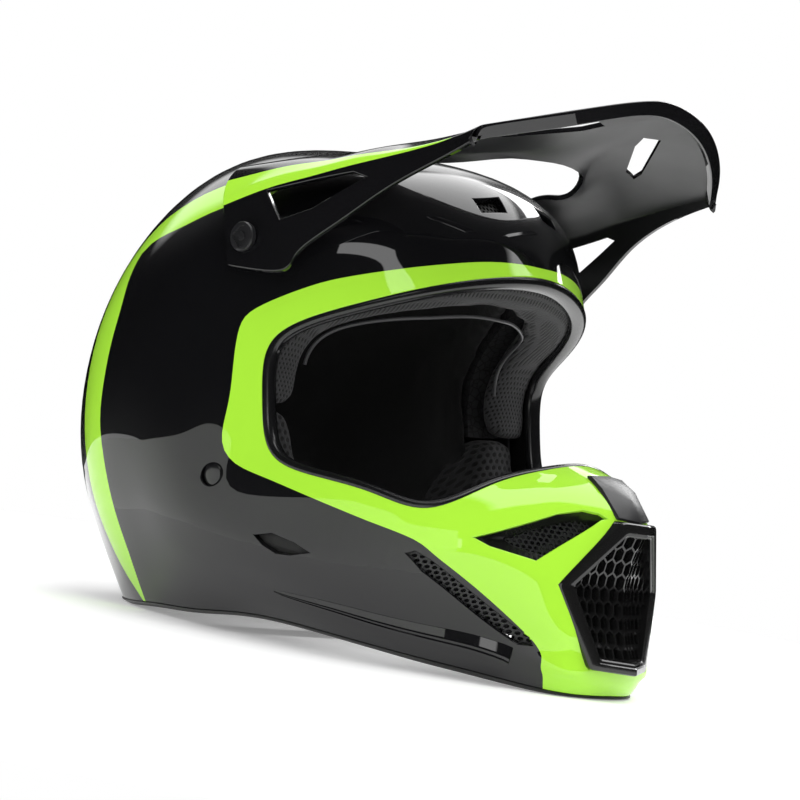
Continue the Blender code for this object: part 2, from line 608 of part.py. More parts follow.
def make_strap(hangers):
    """The buckled strap: the long webbing goes through both rings and folds back through the outer one."""
    drop = [(-x, z) for x, z in STRAP_DROP]
    long_path = drop + [(-x, z) for x, z in STRAP_CROSS]
    long_path += arc(LONG_TURN, LONG_TURN_RADIUS, -90, 90, 6) + list(STRAP_RETURN)
    long_strap = ribbon("long_strap", long_path, WEBBING)
    short_path = list(STRAP_DROP[:-1]) + list(SHORT_RUN)
    short_path += arc(SHORT_TURN, SHORT_TURN_RADIUS, -90, -270, 6) + list(SHORT_RETURN)
    short_strap = ribbon("short_strap", short_path, WEBBING)
    rings = [d_ring("inner_d_ring", 12.0), d_ring("outer_d_ring", 15.0)]
    pivot("strap_axis", (0, STRAP_AXIS_Y, STRAP_AXIS_Z), [long_strap, short_strap, *rings, *hangers])


def make_hangers():
    """Steel plates that the webbing hangs from, and the rivets that they swing on. Returns the plates."""
    y, z = STRAP_AXIS_Y, STRAP_AXIS_Z
    outline = ((y - 12, 62), (y + 12, 62), (y + 12, 66), (y + 7, z + 8), (y - 7, z + 8), (y - 12, 66))
    plate = prism("strap_hanger", outline, "X", 114.5, 116.1, METAL)
    cut(plate, rod("hanger_hole", (115.3, y, z), (1, 0, 0), 3.4, 8, sides=12))
    hangers = pair(plate)
    cover = rod("strap_rivet", (122.5, y, z), (1, 0, 0), 5.7, 1.8, METAL, sides=24)
    cut(cover, rod("rivet_shank", (118.3, y, z), (1, 0, 0), 3.0, 7.4, sides=12), operation="UNION")
    pair(cover)
    pair(rod("rivet_washer", (113.3, y, z), (1, 0, 0), 5.5, 1.4, METAL, sides=16))
    return hangers


# ---- materials and the order of building ----

for leftover in list(bpy.data.objects):
    bpy.data.objects.remove(leftover)
helmet = collection("motocross_helmet", True)
cutters = collection("cutters", False)
GLOSS_BLACK = material("gloss_black", (0.004, 0.004, 0.005), 0.12)
RUBBER = material("black_rubber", (0.01, 0.01, 0.01), 0.5)
FOAM = material("liner_foam", (0.03, 0.03, 0.032), 0.9)
FABRIC = material("liner_fabric", (0.012, 0.012, 0.013), 0.85)
MESH = material("vent_mesh", (0.01, 0.01, 0.01), 0.6)
PLASTIC = material("satin_plastic", (0.02, 0.02, 0.021), 0.4)
METAL = material("black_steel", (0.05, 0.05, 0.05), 0.35, 1.0)
WEBBING = material("webbing", (0.015, 0.015, 0.016), 0.8)

skin = shell_surface(1)
skin_places = grid_places(skin)
vents = make_vent_cutters()
make_shell(vents)
make_trims()
make_linings(vents)
make_cheek_snaps()
make_vent_meshes()
make_chin_plaque()
make_mouth_vent()
make_peak()
make_peak_fixings()
make_strap(make_hangers())
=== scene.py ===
"""Looks of a motocross helmet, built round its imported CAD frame.

The shell and the peak are repeated here from the same points as the CAD model, at a finer subdivision, and
their paint lines and vents are cut into the mesh. Tables and sizes are in millimetres on the left half.
"""

from math import cos, pi, radians, sin

import bmesh
import bpy
import numpy as np
from mathutils import Matrix, Vector
from mathutils.bvhtree import BVHTree
from mathutils.geometry import intersect_point_line
from mathutils.kdtree import KDTree


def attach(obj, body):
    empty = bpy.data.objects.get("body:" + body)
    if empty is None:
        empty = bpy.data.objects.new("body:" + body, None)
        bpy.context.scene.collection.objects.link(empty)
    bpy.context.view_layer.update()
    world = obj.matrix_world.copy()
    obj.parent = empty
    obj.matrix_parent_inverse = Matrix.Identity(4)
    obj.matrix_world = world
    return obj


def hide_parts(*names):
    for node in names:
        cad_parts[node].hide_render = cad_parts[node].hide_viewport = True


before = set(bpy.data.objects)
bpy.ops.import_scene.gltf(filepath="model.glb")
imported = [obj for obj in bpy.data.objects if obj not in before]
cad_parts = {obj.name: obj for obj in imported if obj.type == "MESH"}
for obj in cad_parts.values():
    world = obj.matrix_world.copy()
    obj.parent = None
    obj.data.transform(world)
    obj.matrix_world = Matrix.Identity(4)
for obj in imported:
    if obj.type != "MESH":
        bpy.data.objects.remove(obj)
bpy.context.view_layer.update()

MM = 0.001
SHIFT_Y = -1.33  # the tables' Y against the frame's
FINE = 8  # vertices along each cell of the tables
SHELL_WALL, PEAK_WALL = 3.4, 2.8
STRAP_AXIS_Y, STRAP_AXIS_Z = 9.0, 76.0
PEAK_AXIS_Y, PEAK_AXIS_Z = 14.0, 192.5
SCREW_SEAT_X = 121.0
SIDES = ((1, "left"), (-1, "right"))

# Shell columns run from the chin's middle, round the eyeport, to the brow's middle.
# Rows run from the eyeport's edge to the neck's edge.
SHELL = (
    ((0, -124, 109), (0, -138, 104), (0, -157, 88), (0, -163, 55), (0, -163, 41),
     (0, -163, 29), (0, -162.5, 18), (0, -161, 9), (0, -158, 2)),
    ((30, -120, 104), (34, -131, 97), (38, -140, 82), (42, -147, 53), (40.5, -149, 40),
     (38.5, -151, 29), (36.5, -152.5, 18), (34.5, -152, 9), (32, -149, 2)),
    ((60, -112, 93), (66, -117, 84), (69, -121, 74), (71, -124, 61), (68, -124, 49),
     (65, -123, 37), (62, -122, 26), (59, -120, 15), (56, -117, 5)),
    ((88, -99, 78), (92, -98, 72), (94, -98, 67), (95, -99, 58), (93, -99, 47),
     (90, -98, 36), (86, -96, 26), (82, -94, 16), (78, -92, 8)),
    ((103, -74, 81), (107, -72, 71), (110, -70, 61), (111, -68, 51), (110, -66, 42),
     (107, -63, 33), (103, -60, 25), (98, -57, 17), (93, -55, 11)),
    ((112, -42, 84), (116, -38, 72), (119, -33, 62), (121, -28, 53), (120, -24, 44),
     (117, -20, 36), (112, -17, 28), (106, -15, 20), (99, -13, 12)),
    ((114, -17, 92), (118, -5, 85), (122, 6, 77), (125, 14, 68), (125, 20, 58),
     (122, 25, 47), (117, 27, 35), (109, 27, 22), (99, 24, 8)),
    ((114, -7, 116), (119, 8, 114), (124, 22, 111), (127, 36, 105), (127, 50, 95),
     (124, 60, 79), (119, 63, 59), (110, 59, 33), (96, 50, 6)),
    ((113, -4, 140), (118, 11, 142), (123, 26, 143), (126, 44, 141), (126, 66, 132),
     (122, 86, 111), (117, 95, 82), (107, 92, 44), (90, 72, 4)),
    ((106, -15, 156), (112, -3, 163), (118, 14, 170), (122, 34, 173), (122, 64, 167),
     (116, 98, 142), (110, 115, 104), (99, 114, 54), (80, 91, 2)),
    ((90, -38, 170), (96, -29, 180), (105, -14, 191), (111, 12, 199), (112, 55, 195),
     (106, 103, 170), (98, 130, 122), (87, 132, 62), (66, 110, 1)),
    ((65, -61, 184), (69, -54, 195), (76, -42, 211), (84, -14, 226), (87, 47, 226),
     (84, 105, 202), (77, 143, 142), (65, 149, 72), (48, 124, 1)),
    ((33, -75, 194), (35, -69, 205), (39, -57, 223), (44, -24, 242), (46, 44, 244.5),
     (45, 107, 227.5), (41, 156, 160), (35, 161, 80), (25, 133, 1)),
    ((0, -80, 198), (0, -74, 209), (0, -62, 228), (0, -28, 246.5), (0, 42, 251),
     (0, 108, 235.5), (0, 161, 168), (0, 165, 84), (0, 136, 1)),
)
LAST_COLUMN, LAST_ROW = len(SHELL) - 1, len(SHELL[0]) - 1
CREASE_ROW, CREASE_COLUMN, CREASE = 3, 1, 0.6

# Peak rows run from its front edge back along its arm to the gap in front of the rear panel.
# Its columns run from the middle, over the top and down the arm's outer side.
PEAK = (
    ((0, -136.5, 283), (31, -135.5, 278), (60.5, -126.3, 268), (84, -113.6, 259.3), (100, -103.4, 253),
     (101.8, -102.6, 251)),
    ((0, -138.5, 290), (32, -137.5, 285), (62, -128.3, 275.2), (86, -115.6, 266), (102, -105, 259.3),
     (103.2, -104.2, 254)),
    ((0, -108, 275), (30, -105, 273.5), (60, -97.5, 268), (84, -89, 259.5), (100, -82.5, 251),
     (100.5, -82, 242.8)),
    ((0, -79, 258), (28, -74, 260), (57, -68, 259), (84, -60, 252), (103, -54.5, 242),
     (104.5, -57, 226.8)),
    ((52, -48, 248), (64, -45, 250), (79, -41, 249), (96, -37, 244), (109, -33, 235), (112, -35.8, 207)),
    ((66, -22, 246), (76, -20, 245), (88, -18, 242), (101, -15, 237), (113, -12, 228), (118, -17.5, 189.2)),
    ((82, 8, 240), (90, 8, 238), (99, 8, 235), (107, 9, 230), (115.5, 10, 221), (121.5, -11.8, 179.3)),
    ((98, 39, 230), (104, 39, 228), (109, 39, 225), (114, 38.5, 218), (118.5, 34.6, 209), (124.5, 19, 178.3)),
)
PEAK_LEADING_ROW, PEAK_EDGE_COLUMN = 1, 4

# Vent outlines on the left side. Each pair is across the cut's direction: (x, z) for Y, (y, z) for X and
# (x, y) for Z.
MOUTH = ((-13.8, 86.5), (-42, 52.5), (-22, 14), (22, 14), (42, 52.5), (13.8, 86.5))
CHIN_VENT = ((76, 68.5), (38, 86), (27, 89.5), (20, 89), (16, 86.5), (20, 85), (50, 61.5), (69, 65))
JAW_VENT = ((97, 56), (94, 58.5), (88, 55), (64, 38.5), (47, 26), (45, 21.5), (50, 21), (90, 48.5))
CHEEK_VENT = ((-22, 51.5), (-33, 54.5), (-46, 52), (-56, 48), (-44, 44.5), (-36, 44), (-28, 47))
REAR_VENT = ((20, 120), (46, 124), (44, 112), (22, 107))
BROW_VENT = ((14, 235), (34, 231), (33, 224), (15, 227))
PEAK_WINDOW = ((11, 217), (-37, 231.5), (-46, 229.5), (-20, 210), (-3, 202.5), (4, 209.5))
PEAK_SLOT = ((16, -112), (28, -116), (62, -84), (66, -76), (52, -79), (22, -103))

# The mouth vent is folded along its middle: its front is at RIDGE_Y + FOLD * distance from the middle, and
# leans forward below WAIST_Z. Its outlines are (x, z) halves.
RIDGE_Y, FOLD, LEAN, WAIST_Z = -166.5, 0.44, 0.15, 52.5
FRAME_HALF = ((0, 86.1), (13.8, 86.1), (41.4, WAIST_Z), (23.0, 14.6), (0, 13.8))
FRAME_HOLE_HALF = ((0, 79.5), (10, 79.5), (32.5, WAIST_Z), (17.5, 20), (0, 19.4))
GRILLE_HALF = ((0, 80.5), (10.6, 80.5), (33.5, WAIST_Z), (18.0, 19.2), (0, 18.6))
FILTER_HALF = ((0, 83), (12, 83), (37.5, WAIST_Z), (20, 17), (0, 16.5))
PLAQUE = ((-13.5, 104), (-14.5, 99), (-13.0, 86.5), (0, 85.5), (13.0, 86.5), (14.5, 99), (13.5, 104),
          (0, 105))

WEBBING_WIDTH, WEBBING_THICK = 22.0, 1.8
STRAP_DROP = ((115.3, 60), (114.8, 48), (111.2, 36), (103, 25.5), (90.5, 17.5), (76, 12.5))
STRAP_CROSS = ((56, 9.2), (40, 8.0), (20, 7.2), (0, 7.0), (-20, 7.2))
STRAP_RETURN = ((30, 17.2), (12, 15.0), (-10, 13.4))
LONG_TURN, LONG_TURN_RADIUS = (42.0, 13.0), 5.0
SHORT_RUN, SHORT_RETURN = ((72, 10.8), (66, 9.4)), ((70, 18.8), (83, 21.2))
SHORT_TURN, SHORT_TURN_RADIUS = (60.5, 13.7), 4.7
RING_WIRE, RING_BAR_X, RING_BOW_X, RING_BOW_DEPTH = 1.4, 61.2, 47.2, 7.4

# Paint lines on the left half of the shell
BAND_LINE = (
    (-16, -76, 202.5), (0, -78.5, 203), (16, -76, 202.5), (37, -70.4, 200.2), (61.4, -59.8, 194.3),
    (88.6, -37.8, 183.9), (102.3, -20.3, 175.4), (113.8, 1.3, 161.7), (117.5, 9.8, 153.5), (118.5, 11.2, 143),
    (118.6, 10.6, 132), (119.2, 8.7, 114.9), (120.4, 9.0, 99), (120.4, 7.4, 90.5), (119.8, 1.5, 84.5),
    (118.4, -8, 81.2), (116.6, -22.2, 78.7), (112.8, -51.7, 73.2), (105.7, -77, 68.1), (101.5, -87.0, 66.2),
    (92.9, -100.8, 62.4), (88.4, -106.9, 57.8), (71.7, -119.9, 46.1), (48.2, -136.3, 28.5),
    (40.9, -142, 21.1), (36.8, -143, 12.0), (34.3, -142.9, 4.6), (33, -143, -4),
)
STRIPE_INNER_LINE = (
    (103, 28, 214), (106.2, 47.2, 205.8), (108.6, 67.7, 194.8), (106, 87, 187), (104.5, 97.5, 179.5),
    (109.5, 98.8, 167), (115.5, 95.5, 150.8), (118, 96, 132.4), (119.1, 96, 111.8), (118.3, 94.9, 91.4),
    (116.7, 89, 71.9), (113.1, 82.5, 52.7), (104.8, 73.8, 29), (91.3, 69.3, 4.7), (86, 66, -4),
)
STRIPE_OUTER_LINE = (
    (84, 32, 231), (92.1, 60.3, 218.6), (96, 80, 209), (97, 98, 196), (99, 111, 180), (102, 117.5, 162),
    (105, 119, 143), (107, 119.5, 125), (108, 119, 108), (108.5, 117, 90), (107.5, 109.5, 64), (101, 97, 38),
    (93.5, 84, 18), (89.5, 71, 4.5), (86, 66.5, -4),
)

# The strake's upper edge from its rear tip to its front end, as (y, z), and its section as (out, down)
STRAKE_LINE = ((-31.4, 26.8), (-61.9, 26.3), (-86.4, 24.6), (-102.9, 23.6), (-117.8, 22.6), (-129, 20.8),
               (-134.2, 19.4))
STRAKE_SECTION = ((0.3, 0.0), (2.8, 4.6), (4.2, 5.2), (4.4, 6.4), (6.0, 7.0), (5.8, 8.0), (0.0, 9.6))


# ---- points, curves and the smooth surfaces ----


def point(x, y, z):
    """A place in the tables' millimetres, as metres in the frame."""
    return Vector((x, y + SHIFT_Y, z)) * MM


def spline(points, steps=24):
    """A smooth line through the points, as densely spaced points."""
    line = [Vector(p) for p in points]
    line = [line[0] * 2 - line[1]] + line + [line[-1] * 2 - line[-2]]
    found = []
    for a, b, c, d in zip(line, line[1:], line[2:], line[3:]):
        for i in range(steps):
            t = i / steps
            found.append(0.5 * (2 * b + (c - a) * t + (2 * a - 5 * b + 4 * c - d) * t ** 2
                                + (3 * b - a - 3 * c + d) * t ** 3))
    return found + [line[-2]]


def arc(centre, radius, start, end, steps):
    """Points round part of a circle, in degrees."""
    turns = [radians(start + (end - start) * i / steps) for i in range(steps + 1)]
    return [(centre[0] + radius * cos(turn), centre[1] + radius * sin(turn)) for turn in turns]


def smooth_grid(name, table, creases, weight):
    """The whole surface that a table describes: places, normals, (side, column, row) keys and faces."""
    rows = len(table[0])
    mesh = bpy.data.meshes.new(name)
    faces = [(k * rows + j, k * rows + j + 1, (k + 1) * rows + j + 1, (k + 1) * rows + j)
             for k in range(len(table) - 1) for j in range(rows - 1)]
    mesh.from_pydata([point(*p) for column in table for p in column], [], faces)
    layer = mesh.uv_layers.new(name="grid")
    for loop in mesh.loops:
        layer.data[loop.index].uv = divmod(loop.vertex_index, rows)
    shape = bmesh.new()
    shape.from_mesh(mesh)
    shape.verts.ensure_lookup_table()
    sharp = shape.edges.layers.float.new("crease_edge")
    for a, b in creases:
        shape.edges.get((shape.verts[a], shape.verts[b]))[sharp] = weight
    shape.to_mesh(mesh)
    shape.free()
    return fitted_surface(name, mesh)


def fitted_surface(name, mesh):
    """Mirrors and subdivides a grid that is pushed out until the surface passes through its points."""
    obj = bpy.data.objects.new(name, mesh)
    bpy.context.scene.collection.objects.link(obj)
    obj.modifiers.new("Mirror", "MIRROR").merge_threshold = 0.0001
    smooth = obj.modifiers.new("Smooth", "SUBSURF")
    smooth.levels = smooth.render_levels = 3
    smooth.boundary_smooth = "PRESERVE_CORNERS"
    smooth.uv_smooth = "NONE"
    wanted = np.array([v.co for v in mesh.vertices])
    grid = wanted.copy()
    on_plane = np.abs(wanted[:, 0]) < 1e-9
    for _ in range(8):
        mesh.vertices.foreach_set("co", grid.ravel())
        mesh.update()
        bpy.context.view_layer.update()
        fine = obj.evaluated_get(bpy.context.evaluated_depsgraph_get()).to_mesh()
        grid += wanted - np.array([fine.vertices[i].co for i in range(len(wanted))])
        grid[on_plane, 0] = 0.0
    mesh.vertices.foreach_set("co", grid.ravel())
    mesh.update()
    bpy.context.view_layer.update()
    fine = obj.evaluated_get(bpy.context.evaluated_depsgraph_get()).to_mesh()
    uv = {loop.vertex_index: tuple(fine.uv_layers["grid"].data[loop.index].uv) for loop in fine.loops}
    surface = {
        "place": [v.co.copy() for v in fine.vertices],
        "normal": [v.normal.copy() for v in fine.vertices],
        "grid": [uv[i] for i in range(len(fine.vertices))],
        "faces": [tuple(face.vertices) for face in fine.polygons],
    }
    side = [0 if abs(v.co.x) < 1e-6 else (1 if v.co.x > 0 else -1) for v in fine.vertices]
    surface["index"] = {(side[i], round(u * FINE), round(v * FINE)): i
                        for i, (u, v) in enumerate(surface["grid"])}
    bpy.data.objects.remove(obj)
    return surface


def shell_at(column, row):
    """Place and normal of the shell at a column and row. Columns run on past the middle to the right half."""
    side = 1
    if column > LAST_COLUMN:
        side, column = -1, 2 * LAST_COLUMN - column
    if column < 0:
        side, column = -1, -column
    if column in (0, LAST_COLUMN):
        side = 0
    i = SKIN["index"][(side, round(column * FINE), round(row * FINE))]
    return SKIN["place"][i], SKIN["normal"][i]


def on_shell(place, direction):
    """Where a line from a place meets the shell, with its normal there."""
    reach = direction.normalized()
    found, normal, _, _ = SKIN_TREE.ray_cast(place, reach)
    if found is None:
        found, normal, _, _ = SKIN_TREE.find_nearest(place)
    nearest = SKIN_POINTS.find_n(found, 3)
    weights = [1 / (d + 1e-6) for _, _, d in nearest]
    normal = sum((SKIN["normal"][i] * w for (_, i, _), w in zip(nearest, weights)), Vector()).normalized()
    return found, normal


# ---- cutting paint lines and openings into a surface ----


def surface_shape(surface):
    """The surface as an editable shape whose vertices keep their normals through every cut."""
    shape = bmesh.new()
    normal = shape.verts.layers.float_vector.new("normal")
    column = shape.verts.layers.float.new("column")
    row = shape.verts.layers.float.new("row")
    verts = []
    for place, up, (u, v) in zip(surface["place"], surface["normal"], surface["grid"]):
        vert = shape.verts.new(place)
        vert[normal] = up
        vert[column] = u
        vert[row] = v
        verts.append(vert)
    for face in surface["faces"]:
        shape.faces.new([verts[i] for i in face])
    return shape


def flat(place, axis):
    """A place in the table's millimetres, seen along an axis."""
    x, y, z = place.x / MM, place.y / MM - SHIFT_Y, place.z / MM
    return {"X": (y, z), "Y": (x, z), "Z": (x, y)}[axis]


def inside(outline, p):
    """Whether a flat point is inside an outline."""
    found = False
    for (ax, ay), (bx, by) in zip(outline, outline[1:] + outline[:1]):
        if (ay > p[1]) != (by > p[1]) and p[0] < (bx - ax) * (p[1] - ay) / (by - ay) + ax:
            found = not found
    return found


def opening(shape, outline, axis, where):
    """Cuts an outline exactly into the surface and takes out the faces inside it."""
    outline = list(outline)
    low = [min(p[i] for p in outline) - 3 for i in (0, 1)]
    high = [max(p[i] for p in outline) + 3 for i in (0, 1)]

    def near():
        found = []
        for face in shape.faces:
            middle = face.calc_center_median()
            p = flat(middle, axis)
            if low[0] < p[0] < high[0] and low[1] < p[1] < high[1] and where(middle):
                found.append(face)
        return found

    for a, b in zip(outline, outline[1:] + outline[:1]):
        faces = near()
        parts = list({v for f in faces for v in f.verts}) + list({e for f in faces for e in f.edges}) + faces
        if axis == "X":
            start, way = point(0, *a), Vector((0, -(b[1] - a[1]), b[0] - a[0]))
        elif axis == "Y":
            start, way = point(a[0], 0, a[1]), Vector((-(b[1] - a[1]), 0, b[0] - a[0]))
        else:
            start, way = point(a[0], a[1], 0), Vector((-(b[1] - a[1]), b[0] - a[0], 0))
        bmesh.ops.bisect_plane(shape, geom=parts, dist=1e-6, plane_co=start, plane_no=way)
    gone = [f for f in near() if inside(outline, flat(f.calc_center_median(), axis))]
    bmesh.ops.delete(shape, geom=gone, context="FACES")


def openings(shape, outline, axis, where):
    """The same opening on both sides."""
    opening(shape, outline, axis, lambda p: where(p) and p.x > 0)
    other = outline if axis == "X" else [(-a, b) for a, b in reversed(outline)]
    opening(shape, other, axis, lambda p: where(p) and p.x < 0)


def evened(line, step, reach):
    """The line as evenly spaced points, each one averaged with its neighbours."""
    found, travelled = [line[0]], 0.0
    for a, b in zip(line, line[1:]):
        travelled += (b - a).length
        if travelled >= step:
            found.append(b)
            travelled = 0.0
    groups = [found[max(0, i - reach):i + reach + 1] for i in range(len(found))]
    return [sum(group, Vector()) / len(group) for group in groups]


def tree_of(points):
    """The points, ready to be searched for the nearest one."""
    tree = KDTree(len(points))
    for i, p in enumerate(points):
        tree.insert(p, i)
    tree.balance()
    return tree


def guide(points):
    """A paint line on the left half, ready to say on which side of it a place lies."""
    line = evened([point(*p) for p in spline(points)], 0.8 * MM, 5)
    return line, tree_of(line)


def beside(line_tree, place, normal):
    """Signed distance of a place from a paint line: positive on its left as seen from outside."""
    line, tree = line_tree
    side = -1 if place.x < 0 else 1
    place = Vector((place.x * side, place.y, place.z))
    normal = Vector((normal.x * side, normal.y, normal.z))
    _, i, _ = tree.find(place)
    along = (line[min(i + 1, len(line) - 1)] - line[max(i - 1, 0)]).normalized()
    return (place - line[i]).dot(normal.cross(along).normalized())


def split_along(shape, value):
    """Adds edges where a value that is worked out for each vertex passes through zero."""
    values = {v: value(v) for v in shape.verts}
    fresh = []
    for edge in list(shape.edges):
        a, b = edge.verts
        if values[a] * values[b] < 0 and min(abs(values[a]), abs(values[b])) > 0.02 * MM:
            share = values[a] / (values[a] - values[b])
            _, vert = bmesh.utils.edge_split(edge, a, share)
            fresh.append(vert)
    fresh += [v for v, number in values.items() if abs(number) <= 0.02 * MM]
    bmesh.ops.connect_verts(shape, verts=fresh)


def middle_of(face, layer):
    """The middle of a face and its kept normal."""
    up = sum((v[layer] for v in face.verts), Vector()).normalized()
    return face.calc_center_median(), up


def free_edges(shape, place, up):
    """The border's edges as (start, end, paint), and the direction off the surface at each border point."""
    off = {}
    border = []
    for edge in shape.edges:
        if len(edge.link_loops) != 1:
            continue
        loop = edge.link_loops[0]
        a, b = loop.vert.index, loop.link_loop_next.vert.index
        out = (place[b] - place[a]).cross(up[a]).normalized()
        border.append((a, b, loop.face.material_index))
        for i in (a, b):
            off[i] = off.get(i, Vector()) + out
    return border, {i: out.normalized() for i, out in off.items()}


def thick(name, shape, depth, rim, slots, body, slot, underside=0):
    """Turns a cut surface into a closed body: rounded rims, walls and an inner face."""
    layer = shape.verts.layers.float_vector["normal"]
    shape.verts.index_update()
    shape.verts.ensure_lookup_table()
    place = [v.co.copy() for v in shape.verts]
    up = [v[layer].normalized() for v in shape.verts]
    border, off = free_edges(shape, place, up)
    count = len(place)
    verts = list(place)
    normals = list(up)
    rings = {i: [i] for i in off}
    for turn in (30, 60, 90):
        for i, out in off.items():
            rings[i].append(len(verts))
            verts.append(place[i] + (out * sin(radians(turn)) - up[i] * (1 - cos(radians(turn)))) * rim * MM)
            normals.append(up[i] * cos(radians(turn)) + out * sin(radians(turn)))
    first_inner = len(verts)
    for i in range(count):
        shift = off[i] * rim if i in off else Vector()
        verts.append(place[i] + (shift - up[i] * depth) * MM)
        normals.append(-up[i])
    faces, paints, corners = [], [], []
    for face in shape.faces:
        ring = [v.index for v in face.verts]
        faces.append(ring)
        paints.append(face.material_index)
        corners += [normals[i] for i in ring]
        faces.append([i + first_inner for i in reversed(ring)])
        paints.append(underside)
        corners += [normals[i + first_inner] for i in reversed(ring)]
    for a, b, paint in border:
        for low, high in zip(range(3), range(1, 4)):
            ring = [rings[b][low], rings[a][low], rings[a][high], rings[b][high]]
            faces.append(ring)
            paints.append(paint)
            corners += [normals[i] for i in ring]
        ring = [rings[b][3], rings[a][3], a + first_inner, b + first_inner]
        faces.append(ring)
        paints.append(paint)
        corners += [off[b], off[a], off[a], off[b]]
    shape.free()
    mesh = bpy.data.meshes.new(name)
    mesh.from_pydata(verts, [], faces)
    for paint in slots:
        mesh.materials.append(paint)
    mesh.polygons.foreach_set("material_index", paints)
    mesh.shade_smooth()
    mesh.normals_split_custom_set([tuple(n.normalized()) for n in corners])
    return add(name, mesh, body, slot)


# ---- general pieces ----


def add(name, mesh, body, slot, *stands_for):
    """Links a mesh as a piece of one body, with the CAD nodes that it stands for. Its slot is not used."""
    obj = bpy.data.objects.new(name, mesh)
    bpy.context.scene.collection.objects.link(obj)
    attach(obj, body)
    if stands_for:
        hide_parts(*stands_for)
    return obj


def mesh_of(name, verts, faces, paint, angle=35):
    """A smooth-shaded mesh with its sharp edges kept and its normals facing out."""
    mesh = bpy.data.meshes.new(name)
    mesh.from_pydata([tuple(v) for v in verts], [], faces)
    shape = bmesh.new()
    shape.from_mesh(mesh)
    bmesh.ops.remove_doubles(shape, verts=shape.verts, dist=1e-7)
    bmesh.ops.recalc_face_normals(shape, faces=shape.faces)
    shape.to_mesh(mesh)
    shape.free()
    mesh.shade_smooth()
    mesh.set_sharp_from_angle(angle=radians(angle))
    mesh.materials.append(paint)
    return mesh


def finished(obj):
    """Applies an object's modifiers."""
    bpy.context.view_layer.update()
    graph = bpy.context.evaluated_depsgraph_get()
    mesh = bpy.data.meshes.new_from_object(obj.evaluated_get(graph))
    obj.modifiers.clear()
    obj.data = mesh
    return obj


def bevelled(obj, width, segments=2):
    """Rounds the object's edges."""
    bevel = obj.modifiers.new("Bevel", "BEVEL")
    bevel.width = width * MM
    bevel.segments = segments
    bevel.limit_method = "ANGLE"
    bevel.angle_limit = radians(30)
    bevel.harden_normals = True
    return finished(obj)


def loft(rings, closed_along=False):
    """Faces between rings of points that all have the same count."""
    count = len(rings[0])
    verts = [p for ring in rings for p in ring]
    last = len(rings) if closed_along else len(rings) - 1
    faces = [
        (i * count + j, i * count + (j + 1) % count, (i + 1) % len(rings) * count + (j + 1) % count,
         (i + 1) % len(rings) * count + j)
        for i in range(last)
        for j in range(count)
    ]
    if not closed_along:
        faces += [tuple(range(count)), tuple(range(len(verts) - count, len(verts)))]
    return verts, faces


def turned(name, profile, centre, side, paint, sides=48):
    """A round piece about an X axis. Its profile is (distance out along the axis, radius)."""
    rings = []
    for out, radius in profile:
        rings.append([
            point(side * (centre[0] + out), centre[1] + radius * cos(2 * pi * i / sides),
                  centre[2] + radius * sin(2 * pi * i / sides)) for i in range(sides)
        ])
    verts, faces = loft(rings)
    return mesh_of(name, verts, faces, paint)


def tube(name, points, radius, paint, body, slot, *stands_for, cyclic=False):
    """A round wire, cord or piping along points in metres."""
    curve = bpy.data.curves.new(name, "CURVE")
    curve.dimensions = "3D"
    curve.bevel_depth = radius * MM
    curve.bevel_resolution = 3
    curve.use_fill_caps = True
    line = curve.splines.new("POLY")
    line.points.add(len(points) - 1)
    for target, p in zip(line.points, points):
        target.co = (*p, 1)
    line.use_cyclic_u = cyclic
    curve.materials.append(paint)
    return add(name, curve, body, slot, *stands_for)


# ---- materials ----


def add_node(tree, kind, *inputs, **settings):
    """A shader node whose inputs are given in order, each as a value, an output to join or None."""
    made = tree.nodes.new("ShaderNode" + kind)
    for key, value in settings.items():
        setattr(made, key, value)
    for socket, value in enumerate(inputs):
        if hasattr(value, "is_output"):
            tree.links.new(value, made.inputs[socket])
        elif value is not None:
            made.inputs[socket].default_value = value
    return made


class Paint:
    """One material's nodes, with short ways to add and join them."""

    def __init__(self, name, color, roughness, **values):
        self.made = bpy.data.materials.new(name)
        self.made.use_nodes = True
        self.tree = self.made.node_tree
        self.shader = self.tree.nodes["Principled BSDF"]
        self.set("Base Color", (*color, 1.0))
        self.set("Roughness", roughness)
        for key, value in values.items():
            self.set(key.replace("_", " "), value)

    def set(self, socket, value):
        self.shader.inputs[socket].default_value = value

    def node(self, kind, *inputs, **settings):
        return add_node(self.tree, kind, *inputs, **settings)

    def join(self, output, socket):
        self.tree.links.new(output, self.shader.inputs[socket])

    def math(self, operation, a, b=0.0):
        return self.node("Math", a, b, operation=operation).outputs[0]

    def vector(self, operation, a, b=(0, 0, 0)):
        return self.node("VectorMath", a, b, operation=operation)

    def place(self):
        return self.node("TexCoord").outputs["Object"]

    def noise(self, scale, detail=3.0):
        made = self.node("TexNoise")
        made.inputs["Scale"].default_value = scale
        made.inputs["Detail"].default_value = detail
        self.tree.links.new(self.place(), made.inputs["Vector"])
        return made.outputs["Fac"]

    def span(self, value, low, high, start=0.0, end=1.0):
        made = self.node("MapRange", value)
        for key, number in (("From Min", start), ("From Max", end), ("To Min", low), ("To Max", high)):
            made.inputs[key].default_value = number
        return made.outputs["Result"]

    def bump(self, height, strength, distance):
        made = self.node("Bump")
        made.inputs["Strength"].default_value = strength
        made.inputs["Distance"].default_value = distance
        self.tree.links.new(height, made.inputs["Height"])
        self.join(made.outputs["Normal"], "Normal")

    def shade(self, value, dark, light):
        """Base colour between two colours by a value from 0 to 1."""
        made = self.node("Mix", data_type="RGBA")
        self.tree.links.new(value, made.inputs["Factor"])
        made.inputs["A"].default_value = (*dark, 1.0)
        made.inputs["B"].default_value = (*light, 1.0)
        self.join(made.outputs["Result"], "Base Color")


